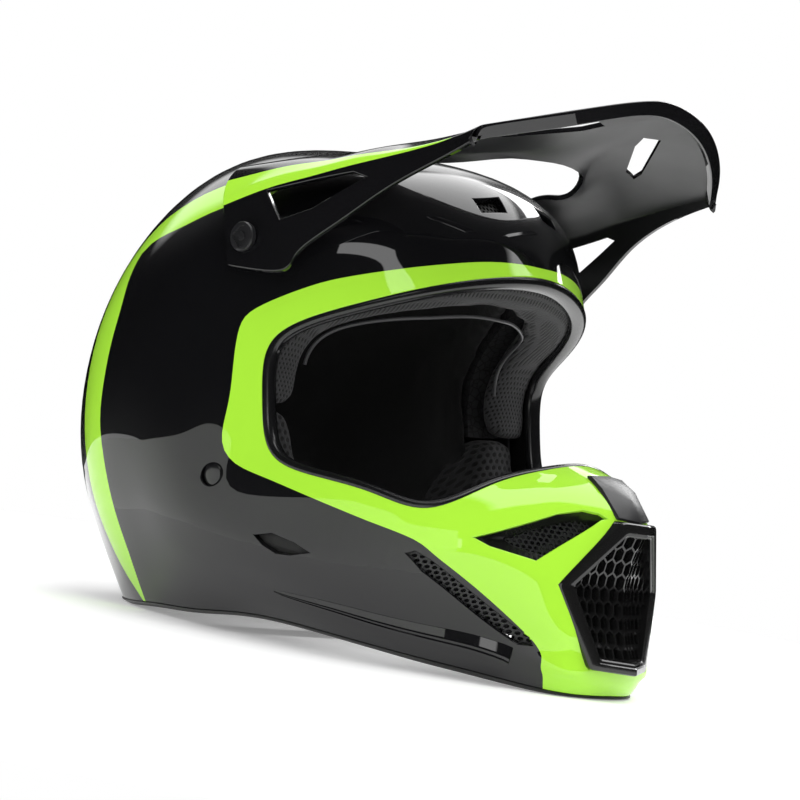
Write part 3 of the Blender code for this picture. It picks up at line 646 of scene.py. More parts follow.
def lacquer(name, color, light, glow=0.0):
    """Sprayed colour under a clear gloss coat, with faint orange peel and handling haze. A glow above zero
    adds a painted glow, light that the paint gives off itself.
    """
    paint = Paint(name, color, 0.4, Coat_Weight=1.0, Coat_Roughness=0.015, Coat_IOR=1.55)
    paint.set("Specular IOR Level", 0.05)
    paint.shade(paint.span(paint.noise(9.0), 0.3, 0.7), color, light)
    paint.join(paint.span(paint.noise(60.0), 0.38, 0.42), "Roughness")
    paint.bump(paint.noise(420.0, 1.0), 0.008, 0.0003)
    # Painted glow: emission lightens the paint whatever the lamps, standing in for the glow of fluorescent
    # paint.
    if glow:
        paint.set("Emission Color", (*light, 1.0))
        paint.set("Emission Strength", glow)
    return paint.made


def moulded(name, color, roughness, grain=900.0, strength=0.08, **values):
    """Moulded plastic or rubber with a fine texture."""
    paint = Paint(name, color, roughness, **values)
    light = tuple(c * 1.5 + 0.002 for c in color)
    paint.shade(paint.span(paint.noise(14.0), 0.1, 0.9), color, light)
    paint.join(paint.span(paint.noise(45.0), roughness * 0.85, min(1.0, roughness * 1.2)), "Roughness")
    paint.bump(paint.noise(grain, 2.0), strength, 0.0004)
    return paint.made


def foam_beads(name):
    """Expanded polystyrene: pressed beads with fine seams."""
    paint = Paint(name, (0.02, 0.02, 0.021), 0.8)
    beads = paint.node("TexVoronoi", feature="DISTANCE_TO_EDGE")
    beads.inputs["Scale"].default_value = 260.0
    paint.tree.links.new(paint.place(), beads.inputs["Vector"])
    edge = paint.span(beads.outputs["Distance"], 0.0, 1.0, 0.0, 0.12)
    paint.shade(edge, (0.008, 0.008, 0.008), (0.03, 0.03, 0.032))
    paint.bump(edge, 0.4, 0.0006)
    return paint.made


def perforated(name, pitch, hole, color=(0.016, 0.016, 0.017), dark=(0.001, 0.001, 0.001)):
    """Open knit with round holes in staggered rows, which run slantwise through the piece."""
    paint = Paint(name, color, 0.85, Sheen_Weight=0.1, Sheen_Roughness=0.5)
    across = paint.vector("DOT_PRODUCT", paint.place(), (1000, -600, 0)).outputs["Value"]
    over = paint.vector("DOT_PRODUCT", paint.place(), (0, 500, 1000)).outputs["Value"]
    cloth = paint.node("CombineXYZ", across, over).outputs[0]
    tile = (pitch, pitch * 1.732, 1.0)
    found = []
    for shift in (0.0, 0.5):
        cell = paint.vector("DIVIDE", cloth, tile).outputs[0]
        cell = paint.vector("ADD", cell, (shift, shift, 0)).outputs[0]
        cell = paint.vector("FRACTION", cell).outputs[0]
        cell = paint.vector("SUBTRACT", cell, (0.5, 0.5, 0)).outputs[0]
        cell = paint.vector("MULTIPLY", cell, (pitch, pitch * 1.732, 0)).outputs[0]
        found.append(paint.vector("LENGTH", cell).outputs["Value"])
    away = paint.math("MINIMUM", *found)
    knit = paint.span(away, 0.0, 1.0, hole * 0.75, hole * 1.15)
    light = tuple(c * 2.2 for c in color)
    mixed = paint.math("MULTIPLY", knit, paint.span(paint.noise(900.0, 2.0), 0.45, 1.0))
    paint.shade(mixed, dark, light)
    paint.bump(mixed, 0.7, 0.0009)
    return paint.made


def brushed_knit(name, color):
    """Soft brushed lining with a fine nap."""
    paint = Paint(name, color, 0.95, Sheen_Weight=0.08, Sheen_Roughness=0.6)
    nap = paint.noise(1600.0, 3.0)
    crushed = paint.span(paint.noise(30.0), 0.5, 1.0)
    paint.shade(paint.math("MULTIPLY", nap, crushed), (0.001, 0.001, 0.001), color)
    paint.bump(nap, 0.5, 0.0006)
    return paint.made


def webbing_weave(name):
    """Woven nylon: ribs across the strap and threads along it."""
    paint = Paint(name, (0.012, 0.012, 0.013), 0.6, Sheen_Weight=0.3)
    waves = []
    for direction, scale in (("X", 420.0), ("Y", 620.0)):
        wave = paint.node("TexWave", bands_direction=direction)
        wave.inputs["Scale"].default_value = scale
        paint.tree.links.new(paint.place(), wave.inputs["Vector"])
        waves.append(wave.outputs["Fac"])
    weave = paint.math("MULTIPLY", *waves)
    paint.shade(weave, (0.004, 0.004, 0.004), (0.03, 0.03, 0.032))
    paint.bump(weave, 0.6, 0.0005)
    return paint.made


def steel(name):
    """Black-coated steel with worn, slightly brighter patches."""
    paint = Paint(name, (0.06, 0.06, 0.065), 0.3, Metallic=1.0)
    wear = paint.span(paint.noise(120.0, 4.0), 0.0, 1.0, 0.5, 0.75)
    paint.shade(wear, (0.03, 0.03, 0.032), (0.12, 0.12, 0.125))
    paint.join(paint.span(paint.noise(80.0), 0.22, 0.4), "Roughness")
    paint.bump(paint.noise(700.0, 2.0), 0.05, 0.0003)
    return paint.made


# ---- shell and trims ----


def in_front(p):
    return p.y < -0.02


def behind(p):
    return p.y > 0.02


def outboard(p):
    return abs(p.x) > 0.08


def make_shell():
    """The painted shell with every opening cut."""
    shape = surface_shape(SKIN)
    for line in (BAND, STRIPE_INNER, STRIPE_OUTER):
        layer = shape.verts.layers.float_vector["normal"]
        split_along(shape, lambda v, line=line, layer=layer: beside(line, v.co, v[layer]))
    opening(shape, MOUTH, "Y", in_front)
    openings(shape, CHIN_VENT, "Y", in_front)
    openings(shape, JAW_VENT, "Y", in_front)
    openings(shape, CHEEK_VENT, "X", outboard)
    openings(shape, REAR_VENT, "Y", behind)
    openings(shape, BROW_VENT, "Y", in_front)
    rivet = arc((STRAP_AXIS_Y, STRAP_AXIS_Z), 6.3, 0, 345, 23)
    openings(shape, rivet, "X", outboard)
    layer = shape.verts.layers.float_vector["normal"]
    for face in shape.faces:
        place, up = middle_of(face, layer)
        banded = beside(BAND, place, up) < 0
        striped = behind(place) and beside(STRIPE_INNER, place, up) > 0 > beside(STRIPE_OUTER, place, up)
        face.material_index = 1 if banded or striped else 0
    shell = thick("shell", shape, SHELL_WALL, 0.7, (BLACK, LIME, INNER), "helmet_shell", "shell_paint", 2)
    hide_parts("outer_shell")


def edge_stations(row):
    """Places, outward normals and directions off the shell along its whole eyeport or neck edge."""
    inner_row = 1 / FINE if row == 0 else row - 1 / FINE
    count = 2 * LAST_COLUMN * FINE
    pairs = [(shell_at(i / FINE, row), shell_at(i / FINE, inner_row)) for i in range(count)]
    stations = []
    for i, ((place, up), (within, _)) in enumerate(pairs):
        along = pairs[(i + 1) % count][0][0] - pairs[i - 1][0][0]
        off = place - within
        off -= off.project(along)
        off -= off.project(up)
        stations.append((place, up, off.normalized()))
    return stations


def moulding(name, row, profile, paint, cad):
    """A closed ring along one edge of the shell. Its profile is (distance off the edge, height)."""
    rings = [[place + (off * a + up * b) * MM for a, b in profile] for place, up, off in edge_stations(row)]
    verts, faces = loft(rings, closed_along=True)
    return add(name, mesh_of(name, verts, faces, paint, 50), "helmet_shell", "black_rubber", cad)


def make_trims():
    """The rubber lip round the eyeport and the bead round the neck."""
    lip = ((0.3, -0.5), (0.8, 0.1), (1.8, 0.3), (3.2, 0.0), (4.4, -0.9), (5.0, -2.2), (5.2, -4.0),
           (5.0, -7.0), (4.2, -8.6), (2.6, -9.2), (0.6, -8.8), (0.5, -4.0))
    moulding("eyeport_lip", 0, lip, LIP, "eyeport_trim")
    low = ((0.6, 0.3), (1.2, 0.8), (2.2, 0.5), (3.2, -0.6), (3.6, -1.8), (3.2, -3.2), (2.2, -4.2),
           (0.6, -4.8))
    hem = moulding("lower_bead", LAST_ROW, low, RUBBER, "lower_edge_trim")
    for vert in hem.data.vertices:
        vert.co.z = max(vert.co.z, 0.0)


def make_rivets():
    """The covers of the strap's rivets."""
    profile = ((-8, 2.6), (-2.2, 2.6), (-2.2, 5.4), (-0.4, 5.6), (0.3, 5.3), (0.6, 4.6), (0.8, 2.4),
               (0.85, 0.4))
    for side, name in SIDES:
        mesh = turned(f"{name}_rivet_cap", profile, (122.3, STRAP_AXIS_Y, STRAP_AXIS_Z), side, LIP)
        add(f"{name}_rivet_cap", mesh, "helmet_shell", "black_steel", f"{name}_strap_rivet")


# ---- vents ----


def honeycomb(name, cells, place, depth, wall, paint, body, slot, *stands_for):
    """A network of open cells, each a ring of (a, b) corners. Place gives a front point and the way in."""
    verts, faces, outer, index = [], [], {}, {}

    def vert(a, b, level):
        key = (round(a, 3), round(b, 3), level)
        if key not in index:
            front, way = place(a, b)
            index[key] = len(verts)
            verts.append(front + way * depth * MM * level)
        return index[key]

    for ring in cells:
        middle = (sum(p[0] for p in ring) / len(ring), sum(p[1] for p in ring) / len(ring))
        reach = max(abs(p[1] - middle[1]) for p in ring)
        shrink = max(0.2, 1 - wall / max(reach, 1e-6))
        hole = [(middle[0] + (a - middle[0]) * shrink, middle[1] + (b - middle[1]) * shrink) for a, b in ring]
        for (a, b, c, d) in zip(ring, ring[1:] + ring[:1], hole[1:] + hole[:1], hole):
            front = [vert(*p, 0) for p in (a, b, c, d)]
            back = [vert(*p, 1) for p in (a, b, c, d)]
            faces += [tuple(front), tuple(reversed(back)), (front[3], front[2], back[2], back[3])]
            key = tuple(sorted((front[0], front[1])))
            outer[key] = outer.get(key, []) + [(front[1], front[0], back[0], back[1])]
    faces += [walls[0] for walls in outer.values() if len(walls) == 1]
    faces = [f for f in faces if len(set(f)) == len(f)]
    return add(name, mesh_of(name, verts, faces, paint, 40), body, slot, *stands_for)


def hexagons(low, high, pitch, stretch=1.0, slant=0.0):
    """Corner rings of staggered hexagons over a box, as (a, b) places."""
    found = []
    rise = pitch * stretch
    rows = int((high[1] - low[1]) / (1.5 * rise * 0.577)) + 2
    columns = int((high[0] - low[0]) / pitch) + 2
    for row in range(rows):
        b = low[1] + row * 1.5 * rise * 0.577
        for column in range(columns):
            a = low[0] + (column + (row % 2) / 2) * pitch + slant * (b - low[1])
            found.append([(a + pitch * 0.577 * sin(radians(60 * i)), b + rise * 0.577 * cos(radians(60 * i)))
                          for i in range(6)])
    return found


def clipped(cells, outline):
    """The cells whose middle is inside an outline, their corners pulled onto it where they stick out."""
    outline = list(outline)
    kept = []
    for ring in cells:
        middle = (sum(p[0] for p in ring) / 6, sum(p[1] for p in ring) / 6)
        if not inside(outline, middle):
            continue
        kept.append([p if inside(outline, p) else nearest_on(outline, p) for p in ring])
    return kept


def nearest_on(outline, p):
    """The point of an outline that is nearest to a flat point."""
    best = None
    for a, b in zip(outline, outline[1:] + outline[:1]):
        _, share = intersect_point_line(Vector((*p, 0)), Vector((*a, 0)), Vector((*b, 0)))
        share = min(1, max(0, share))
        q = (a[0] + (b[0] - a[0]) * share, a[1] + (b[1] - a[1]) * share)
        away = (q[0] - p[0]) ** 2 + (q[1] - p[1]) ** 2
        if best is None or away < best[0]:
            best = (away, q)
    return best[1]


def grown(outline, by):
    """The outline with each corner moved out from its middle."""
    middle = Vector((sum(p[0] for p in outline), sum(p[1] for p in outline))) / len(outline)
    return [tuple(Vector(p) + (Vector(p) - middle).normalized() * by) for p in outline]


def behind_shell(axis, side, depth):
    """Gives the place a depth under the shell for a flat place seen along an axis."""
    def place(a, b):
        if axis == "Y":
            start, way = point(side * a, -200, b), Vector((0, 1, 0))
        elif axis == "-Y":
            start, way = point(side * a, 220, b), Vector((0, -1, 0))
        else:
            start, way = point(side * 200, a, b), Vector((-side, 0, 0))
        found, normal = on_shell(start, way)
        return found - normal * depth * MM, -normal
    return place


def cell_box(outline):
    """The corners of a box round an outline, with room for one more cell."""
    low = [min(p[i] for p in outline) - 3 for i in (0, 1)]
    high = [max(p[i] for p in outline) + 3 for i in (0, 1)]
    return low, high


def vent_mesh(kind, cad, outline, axis, depth, pitch, paint, slot):
    """A honeycomb under the shell behind a vent, on both sides."""
    outline = grown(outline, 2)
    cells = clipped(hexagons(*cell_box(outline), pitch), outline)
    for side, name in SIDES:
        honeycomb(f"{name}_{kind}", cells, behind_shell(axis, side, depth), 1.6, 0.5, paint,
                  "helmet_shell", slot, f"{name}_{cad}")


def shade_sheet(kind, outline, axis, depth, paint, slot):
    """A thin dark sheet under the shell behind a vent: painted shade, dark in place of the shade inside the
    vent, which also keeps light from showing through.
    """
    outline = grown(outline, 3)
    cells = clipped(hexagons(*cell_box(outline), 2.5), outline)
    for side, name in SIDES:
        place = behind_shell(axis, side, depth)
        verts, faces = [], []
        for ring in cells:
            found = [place(*p) for p in ring]
            first = len(verts)
            verts += [p for p, _ in found] + [p + way * MM for p, way in found]
            faces.append(tuple(range(first, first + 6)))
            faces.append(tuple(range(first + 11, first + 5, -1)))
            for i in range(6):
                j = (i + 1) % 6
                faces.append((first + i, first + j, first + 6 + j, first + 6 + i))
        add(f"{name}_{kind}", mesh_of(f"{name}_{kind}", verts, faces, paint), "helmet_shell", slot)


def tray(kind, outline, axis, floor, depth, paint, slot):
    """The sloped walls of a vent, from its opening in to a smaller outline under the shell."""
    for side, name in SIDES:
        rings = []
        for points, down in ((outline, 0.6), (grown(outline, -0.8), 2.0), (floor, depth),
                             (grown(floor, 1.2), depth), (grown(outline, 1.2), 2.6),
                             (grown(outline, 0.8), 1.0)):
            rings.append([behind_shell(axis, side, down)(*p)[0] for p in points])
        verts, faces = loft(rings, closed_along=True)
        add(f"{name}_{kind}", mesh_of(f"{name}_{kind}", verts, faces, paint, 50), "helmet_shell", slot)


def towards(outline, middle, scale):
    """The outline scaled about a point."""
    return [(middle[0] + (a - middle[0]) * scale, middle[1] + (b - middle[1]) * scale) for a, b in outline]


def make_vents():
    floor = towards(CHIN_VENT, (34, 76), 0.62)
    tray("chin_vent_tray", CHIN_VENT, "Y", floor, 7.0, GLOSS_FRAME, "satin_plastic")
    vent_mesh("chin_vent_honeycomb", "chin_vent_mesh", floor, "Y", 6.2, 2.6, SATIN, "vent_mesh")
    vent_mesh("jaw_vent_honeycomb", "jaw_vent_mesh", JAW_VENT, "Y", 4.2, 2.6, SATIN, "vent_mesh")
    vent_mesh("rear_vent_honeycomb", "rear_vent_grille", REAR_VENT, "-Y", 4.2, 4.5, SATIN, "vent_mesh")
    vent_mesh("brow_vent_honeycomb", "brow_vent_mesh", BROW_VENT, "Y", 4.4, 2.4, INNER, "vent_mesh")
    # The dark sheets behind the jaw and brow vents are painted shade for the inside of those vents.
    shade_sheet("jaw_vent_shade_sheet", JAW_VENT, "Y", 8.5, INNER, "vent_mesh")
    shade_sheet("brow_vent_shade_sheet", BROW_VENT, "Y", 7.5, INNER, "vent_mesh")
    for node in ("left_cheek_vent_insert", "right_cheek_vent_insert"):
        dress(node, INNER)


def make_strakes():
    """A stepped blade along each side of the chin bar, which grows from a point to its blunt front end."""
    upper = spline([(*p, 0) for p in STRAKE_LINE], 6)
    for side, name in SIDES:
        rings = []
        for i, p in enumerate(upper):
            grow = ((i + 0.4) / len(upper)) ** 0.45
            if i == len(upper) - 1:
                grow *= 0.3
            found, normal = on_shell(point(side * 200, p.x, p.y), Vector((-side, 0, 0)))
            down = (Vector((0, 0, -1)) + normal * normal.z).normalized()
            ring = [(-2.0, 0)] + [(out * grow, drop * grow) for out, drop in STRAKE_SECTION]
            ring.append((-2.0, STRAKE_SECTION[-1][1] * grow))
            rings.append([found + (normal * out + down * drop) * MM for out, drop in ring])
        verts, faces = loft(rings)
        mesh = mesh_of(f"{name}_strake", verts, faces, BLACK, 12)
        add(f"{name}_strake", mesh, "helmet_shell", "shell_paint")


def folded(x, z, depth=0.0):
    """A place on the folded front of the mouth vent, whose lower half leans forward."""
    lean = LEAN * max(0.0, WAIST_Z - z)
    return point(x, RIDGE_Y + FOLD * abs(x) - lean + depth, z)


def bowl(x, z):
    """How far the mouth grille is sunk behind the frame's front."""
    away = (x / 33.0) ** 2 + ((z - 49.0) / 34.0) ** 2
    return 3.0 + 7.0 * max(0.0, 1.0 - away)


def mirrored(half):
    """A whole outline from its half, which starts and ends on the middle."""
    return [(x, z) for x, z in half] + [(-x, z) for x, z in reversed(half[1:-1])]


def rounded(outline, radius, steps=4):
    """The outline with its corners rounded off."""
    found = []
    for a, b, c in zip(outline[-1:] + outline[:-1], outline, outline[1:] + outline[:1]):
        a, b, c = Vector(a), Vector(b), Vector(c)
        start, end = b + (a - b).normalized() * radius, b + (c - b).normalized() * radius
        for i in range(steps + 1):
            share = i / steps
            p = start * (1 - share) ** 2 + b * 2 * share * (1 - share) + end * share ** 2
            found.append((p.x, p.y))
    return found


def sized(outline, scale_x, scale_z):
    """An outline scaled about the middle of the mouth vent."""
    return [(x * scale_x, 50 + (z - 50) * scale_z) for x, z in outline]


def make_mouth_frame():
    full, inner = rounded(mirrored(FRAME_HALF), 2.2), rounded(mirrored(FRAME_HOLE_HALF), 1.4)
    steps = ((full, 7.0), (full, 1.4), (sized(full, 0.985, 0.985), 0.3), (sized(full, 0.965, 0.965), 0.0),
             (sized(inner, 1.12, 1.07), 0.0), (sized(inner, 1.1, 1.055), 0.9),
             (sized(inner, 1.03, 1.02), 1.2), (inner, 1.8), (inner, 10.0))
    rings = [[folded(x, z, depth) for x, z in outline] for outline, depth in steps]
    verts, faces = loft(rings, closed_along=True)
    add("mouth_frame", mesh_of("mouth_frame", verts, faces, GLOSS_FRAME, 24), "helmet_shell",
        "satin_plastic", "mouth_vent_frame")


def make_mouth_grille():
    cells = clipped(hexagons((-34, 16), (34, 84), 5.2, 1.5), mirrored(GRILLE_HALF))
    honeycomb("mouth_honeycomb", cells, lambda x, z: (folded(x, z, bowl(x, z)), Vector((0, 1, 0))), 4.5, 0.62,
              GLOSS_FRAME, "helmet_shell", "satin_plastic", "mouth_vent_grille")


def make_filter():
    """The foam pad behind the grille."""
    ring = rounded(mirrored(FILTER_HALF), 2.0)
    rings = [[folded(x * s, 50 + (z - 50) * s, d) for x, z in ring]
             for s, d in ((1, 15.5), (1, 19), (0.5, 19.5), (0.02, 20), (0.02, 16.5), (0.5, 16))]
    verts, faces = loft(rings, closed_along=True)
    mesh = mesh_of("filter_pad", verts, faces, FILTER, 40)
    add("filter_pad", mesh, "helmet_shell", "liner_foam", "mouth_filter")


def make_plaque():
    """The blank moulded plaque over the mouth vent."""
    rings = []
    for scale, height in ((1.0, 0.2), (1.0, 1.2), (0.94, 1.9), (0.55, 2.1), (0.05, 2.2)):
        ring = []
        for x, z in PLAQUE:
            found, normal = on_shell(point(x * scale, -200, 95 + (z - 95) * scale), Vector((0, 1, 0)))
            ring.append(found + normal * height * MM)
        rings.append(ring)
    verts, faces = loft(rings)
    plaque = add("blank_plaque", mesh_of("blank_plaque", verts, faces, SATIN, 30), "helmet_shell",
                 "satin_plastic", "chin_plaque")
    bevelled(plaque, 0.3)


# ---- peak ----


def make_peak():
    """The peak's painted skin with its windows, slots and screw holes."""
    shape = surface_shape(PEAK_SKIN)
    column = shape.verts.layers.float["column"]
    row = shape.verts.layers.float["row"]

    def strip(v):
        """Positive on the coloured strip along the arm's upper edge, which narrows to the front."""
        width = 1.25 * max(0.0, (v[column] - 1.6) / 5.4)
        return min(v[row] - (4.05 - width), 4.08 - v[row]) * MM * 8

    split_along(shape, strip)
    openings(shape, PEAK_WINDOW, "X", outboard)
    openings(shape, PEAK_SLOT, "Z", in_front)
    hole = arc((PEAK_AXIS_Y, PEAK_AXIS_Z), 4.0, 0, 345, 15)
    openings(shape, hole, "X", outboard)
    for face in shape.faces:
        value = sum(strip(v) for v in face.verts)
        face.material_index = 1 if value > 0 else 0
    peak = thick("peak_skin", shape, PEAK_WALL, 0.8, (PEAK_BLACK, LIME, SATIN), "peak", "shell_paint", 2)
    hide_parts("peak")


def make_screws():
    """Quarter-turn screws with a four-lobed recess for the fingers."""
    profile = ((-22, 3.0), (-1.0, 3.0), (-1.0, 7.2), (1.2, 7.4), (2.0, 6.9), (2.2, 6.0), (2.2, 4.9),
               (1.2, 4.5), (1.2, 2.4), (1.9, 2.0), (2.0, 0.4))
    for side, name in SIDES:
        centre = (SCREW_SEAT_X + 1.4, PEAK_AXIS_Y, PEAK_AXIS_Z)
        mesh = turned(f"{name}_screw_head", profile, centre, side, SATIN, 64)
        for vert in mesh.vertices:
            y = vert.co.y / MM - SHIFT_Y - PEAK_AXIS_Y
            z = vert.co.z / MM - PEAK_AXIS_Z
            radius = (y * y + z * z) ** 0.5
            if 4.0 < radius < 6.5:
                lobe = 0.12 * cos(4 * np.arctan2(z, y))
                vert.co.y += y * lobe * MM
                vert.co.z += z * lobe * MM
        add(f"{name}_screw_head", mesh, f"{name}_screw", "black_steel", f"{name}_peak_screw")


# ---- padding ----


def off_edge(column):
    """The direction along the shell off its eyeport edge at a column."""
    return (shell_at(column, 0)[0] - shell_at(column, 1)[0]).normalized()


def pad_block(columns, rows, start, end, lean, step=4):
    """A closed block between two depths over a range of the shell's columns and rows, its edges drawn in.

    It leans out of the eyeport as it gets deeper.
    """
    across = [columns[0] + i / step for i in range(int((columns[1] - columns[0]) * step) + 1)]
    down = [rows[0] + i / step for i in range(int((rows[1] - rows[0]) * step) + 1)]
    sheet = [[], []]
    for i, column in enumerate(across):
        for j, row in enumerate(down):
            place, up = shell_at(column, row)
            edge = min(i, len(across) - 1 - i, j, len(down) - 1 - j)
            share = (0.62, 0.9, 1.0)[min(edge, 2)]
            sheet[0].append(place - up * start * MM)
            deep = (end - start) * share
            sheet[1].append(place + (off_edge(column) * lean * deep - up * (start + deep)) * MM)
    width = len(down)
    count = len(sheet[0])
    faces = []
    for i in range(len(across) - 1):
        for j in range(width - 1):
            ring = (i * width + j, i * width + j + 1, (i + 1) * width + j + 1, (i + 1) * width + j)
            faces += [ring, tuple(k + count for k in reversed(ring))]
    rim = [i * width for i in range(len(across))]
    rim += [(len(across) - 1) * width + j for j in range(1, width)]
    rim += [i * width + width - 1 for i in range(len(across) - 2, -1, -1)]
    rim += [j for j in range(width - 2, 0, -1)]
    faces += [(a, b, b + count, a + count) for a, b in zip(rim, rim[1:] + rim[:1])]
    return sheet[0] + sheet[1], faces


def swell(obj, voxel, pressure, cap):
    """Rounds a block into a stuffed pad: a remesh, then a short cloth simulation whose reach is limited."""
    remesh = obj.modifiers.new("Remesh", "REMESH")
    remesh.mode = "VOXEL"
    remesh.voxel_size = voxel * MM
    finished(obj)
    start = np.array([v.co for v in obj.data.vertices])
    cloth = obj.modifiers.new("Cloth", "CLOTH")
    cloth.settings.use_pressure = True
    cloth.settings.uniform_pressure_force = pressure
    cloth.settings.effector_weights.gravity = 0
    cloth.settings.quality = 4
    cloth.settings.tension_stiffness = 40
    cloth.point_cache.frame_start = 1
    cloth.point_cache.frame_end = 20
    for step in range(1, 21):
        bpy.context.scene.frame_set(step)
    finished(obj)
    bpy.context.scene.frame_set(1)
    moved = np.array([v.co for v in obj.data.vertices]) - start
    length = np.linalg.norm(moved, axis=1, keepdims=True)
    limit = np.minimum(1.0, cap * MM / np.maximum(length, 1e-9))
    obj.data.vertices.foreach_set("co", (start + moved * limit).ravel())
    smooth = obj.modifiers.new("Smooth", "SMOOTH")
    smooth.iterations = 6
    finer = obj.modifiers.new("Finer", "SUBSURF")
    finer.levels = finer.render_levels = 1
    finished(obj)
    obj.data.shade_smooth()


def pad(name, columns, rows, start, end, paint, cad, voxel, cap, lean=0.0):
    """A stuffed pad between two depths under the shell. Voxel size and cap, its most swelling, are in mm."""
    verts, faces = pad_block(columns, rows, start, end, lean)
    obj = add(name, mesh_of(name, verts, faces, paint), "helmet_shell", "liner_fabric", cad)
    swell(obj, voxel, 4.0, cap)


def seam(name, places, radius, paint):
    """Piping along (column, row, depth) places on the brow cushion."""
    points = []
    for column, row, depth in places:
        place, up = shell_at(column, row)
        points.append(place + (off_edge(column) * BROW_LEAN * (depth - 5) - up * depth) * MM)
    return tube(name, points, radius, paint, "helmet_shell", "liner_fabric")


def make_padding():
    whole = (6.5, 2 * LAST_COLUMN - 6.5)
    pad("crown_liner", whole, (0.75, 7), 35.5, 44.5, SHADED_NAP, "crown_comfort_liner", 4.5, 2.5)
    brow = (7.0, 2 * LAST_COLUMN - 7.0)
    pad("brow_cushion", brow, (0, 1), 5.0, 35.0, KNIT, "brow_pad", 4.0, 2.0, BROW_LEAN)
    pad("nape_roll", (8, 2 * LAST_COLUMN - 8), (7, 8), 8.0, 24.0, SHADED_NAP, "neck_roll", 6.0, 3.0)
    for name, cheek in (("left", (3.75, 7.0)), ("right", (-7.0, -3.75))):
        pad(f"{name}_cheek_cushion", cheek, (0.25, 5.5), 12.0, 42.0, COARSE_KNIT, f"{name}_cheek_pad",
            5.0, 5.0, 0.25)
    columns = [8 + i / FINE for i in range((2 * LAST_COLUMN - 16) * FINE + 1)]
    seam("brow_piping", [(c, 0.12, 34.0) for c in columns], 0.9, PIPING)


# ---- chin strap ----


def ribbon(name, path, cad):
    """Flat webbing with rounded edges along a smooth line of (x, z) points."""
    line = spline([(x, z, 0) for x, z in path], 6)
    half, thin = WEBBING_WIDTH / 2, WEBBING_THICK / 2
    rings = []
    for i, place in enumerate(line):
        along = (line[min(i + 1, len(line) - 1)] - line[max(i - 1, 0)]).normalized()
        side = Vector((-along.y, along.x))
        section = ((half, 0.35), (half - 0.6, 1), (0, 1.06), (0.6 - half, 1), (-half, 0.35), (-half, -0.35),
                   (0.6 - half, -1), (0, -1.06), (half - 0.6, -1), (half, -0.35))
        rings.append([point(place.x + side.x * thin * b, STRAP_AXIS_Y + a, place.y + side.y * thin * b)
                      for a, b in section])
    verts, faces = loft(rings)
    return add(name, mesh_of(name, verts, faces, WEBBING, 50), "chin_strap", "webbing", cad)


def make_strap():
    long_path = [(-x, z) for x, z in STRAP_DROP + STRAP_CROSS]
    long_path += arc(LONG_TURN, LONG_TURN_RADIUS, -90, 90, 6) + list(STRAP_RETURN)
    ribbon("long_webbing", long_path, "long_strap")
    short_path = list(STRAP_DROP[:-1]) + list(SHORT_RUN)
    short_path += arc(SHORT_TURN, SHORT_TURN_RADIUS, -90, -270, 6) + list(SHORT_RETURN)
    ribbon("short_webbing", short_path, "short_strap")
    half = WEBBING_WIDTH / 2 + 2.4
    bow = [(RING_BOW_X + x * RING_BOW_DEPTH / half, y) for x, y in arc((0, 0), half, 95, 265, 20)]
    corner = [(RING_BAR_X - 0.6, -half + 0.2), (RING_BAR_X, -half + 1.2), (RING_BAR_X, half - 1.2),
              (RING_BAR_X - 0.6, half - 0.2)]
    for name, height in (("inner", 12.0), ("outer", 15.0)):
        points = [point(x, STRAP_AXIS_Y + y, height) for x, y in corner + bow]
        tube(f"{name}_buckle_ring", points, RING_WIRE, STEEL, "chin_strap", "black_steel", f"{name}_d_ring",
             cyclic=True)


def dress(node, paint):
    """Gives a CAD node that stays in view its finish."""
    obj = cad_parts[node]
    obj.data.materials.clear()
    obj.data.materials.append(paint)


def dress_cad_nodes():
    for node in ("eps_liner", "chin_bar_foam"):
        dress(node, BEADS)
    for side in ("left", "right"):
        for part in ("cheek_pad_plate", "front_cheek_snap", "rear_cheek_snap"):
            dress(f"{side}_{part}", SATIN)
        for part in ("peak_nut", "rivet_washer", "strap_hanger"):
            dress(f"{side}_{part}", STEEL)


# ---- studio ----


def make_camera():
    camera = bpy.data.cameras.new("camera")
    camera.lens = 126.0
    camera.sensor_width = 36.0
    camera.clip_start = 0.05
    camera.clip_end = 60.0
    obj = bpy.data.objects.new("camera", camera)
    right, up = Vector(CAMERA_RIGHT), Vector(CAMERA_UP)
    back = right.cross(up)
    turn = Matrix((right, up, back)).transposed().to_4x4()
    obj.matrix_world = Matrix.Translation(Vector(CAMERA_PLACE)) @ turn
    bpy.context.scene.collection.objects.link(obj)
    bpy.context.scene.camera = obj


def glowing_white(name, strength, **values):
    """Matt white that also gives off some light."""
    paint = Paint(name, (0.9, 0.9, 0.9), 0.9, **values)
    paint.set("Emission Color", (1.0, 1.0, 1.0, 1.0))
    paint.set("Emission Strength", strength)
    return paint.made


def make_floor():
    mesh = bpy.data.meshes.new("floor")
    shape = bmesh.new()
    bmesh.ops.create_circle(shape, cap_ends=True, segments=96, radius=0.6)
    shape.to_mesh(mesh)
    shape.free()
    floor = bpy.data.objects.new("floor", mesh)
    floor.location.z = -0.0004
    bpy.context.scene.collection.objects.link(floor)
    mesh.materials.append(glowing_white("floor_white", 0.22, Specular_IOR_Level=0.1))


def make_card():
    """A low curved card close along the right side, which only polished faces see."""
    verts, faces = [], []
    for i in range(49):
        turn = 5 + 135 * i / 48
        for height in (0.001, np.interp(turn, CARD_TURNS, CARD_TOPS)):
            verts.append((-CARD_SIZE[0] * sin(radians(turn)), CARD_SIZE[1] * cos(radians(turn)), height))
        if i:
            faces.append((2 * i - 2, 2 * i, 2 * i + 1, 2 * i - 1))
    card = bpy.data.objects.new("reflector_card", bpy.data.meshes.new("reflector_card"))
    card.data.from_pydata(verts, [], faces)
    bpy.context.scene.collection.objects.link(card)
    for kind in ("camera", "diffuse", "transmission", "shadow", "volume_scatter"):
        setattr(card, "visible_" + kind, False)
    card.data.materials.append(glowing_white("card_white", 0.5))


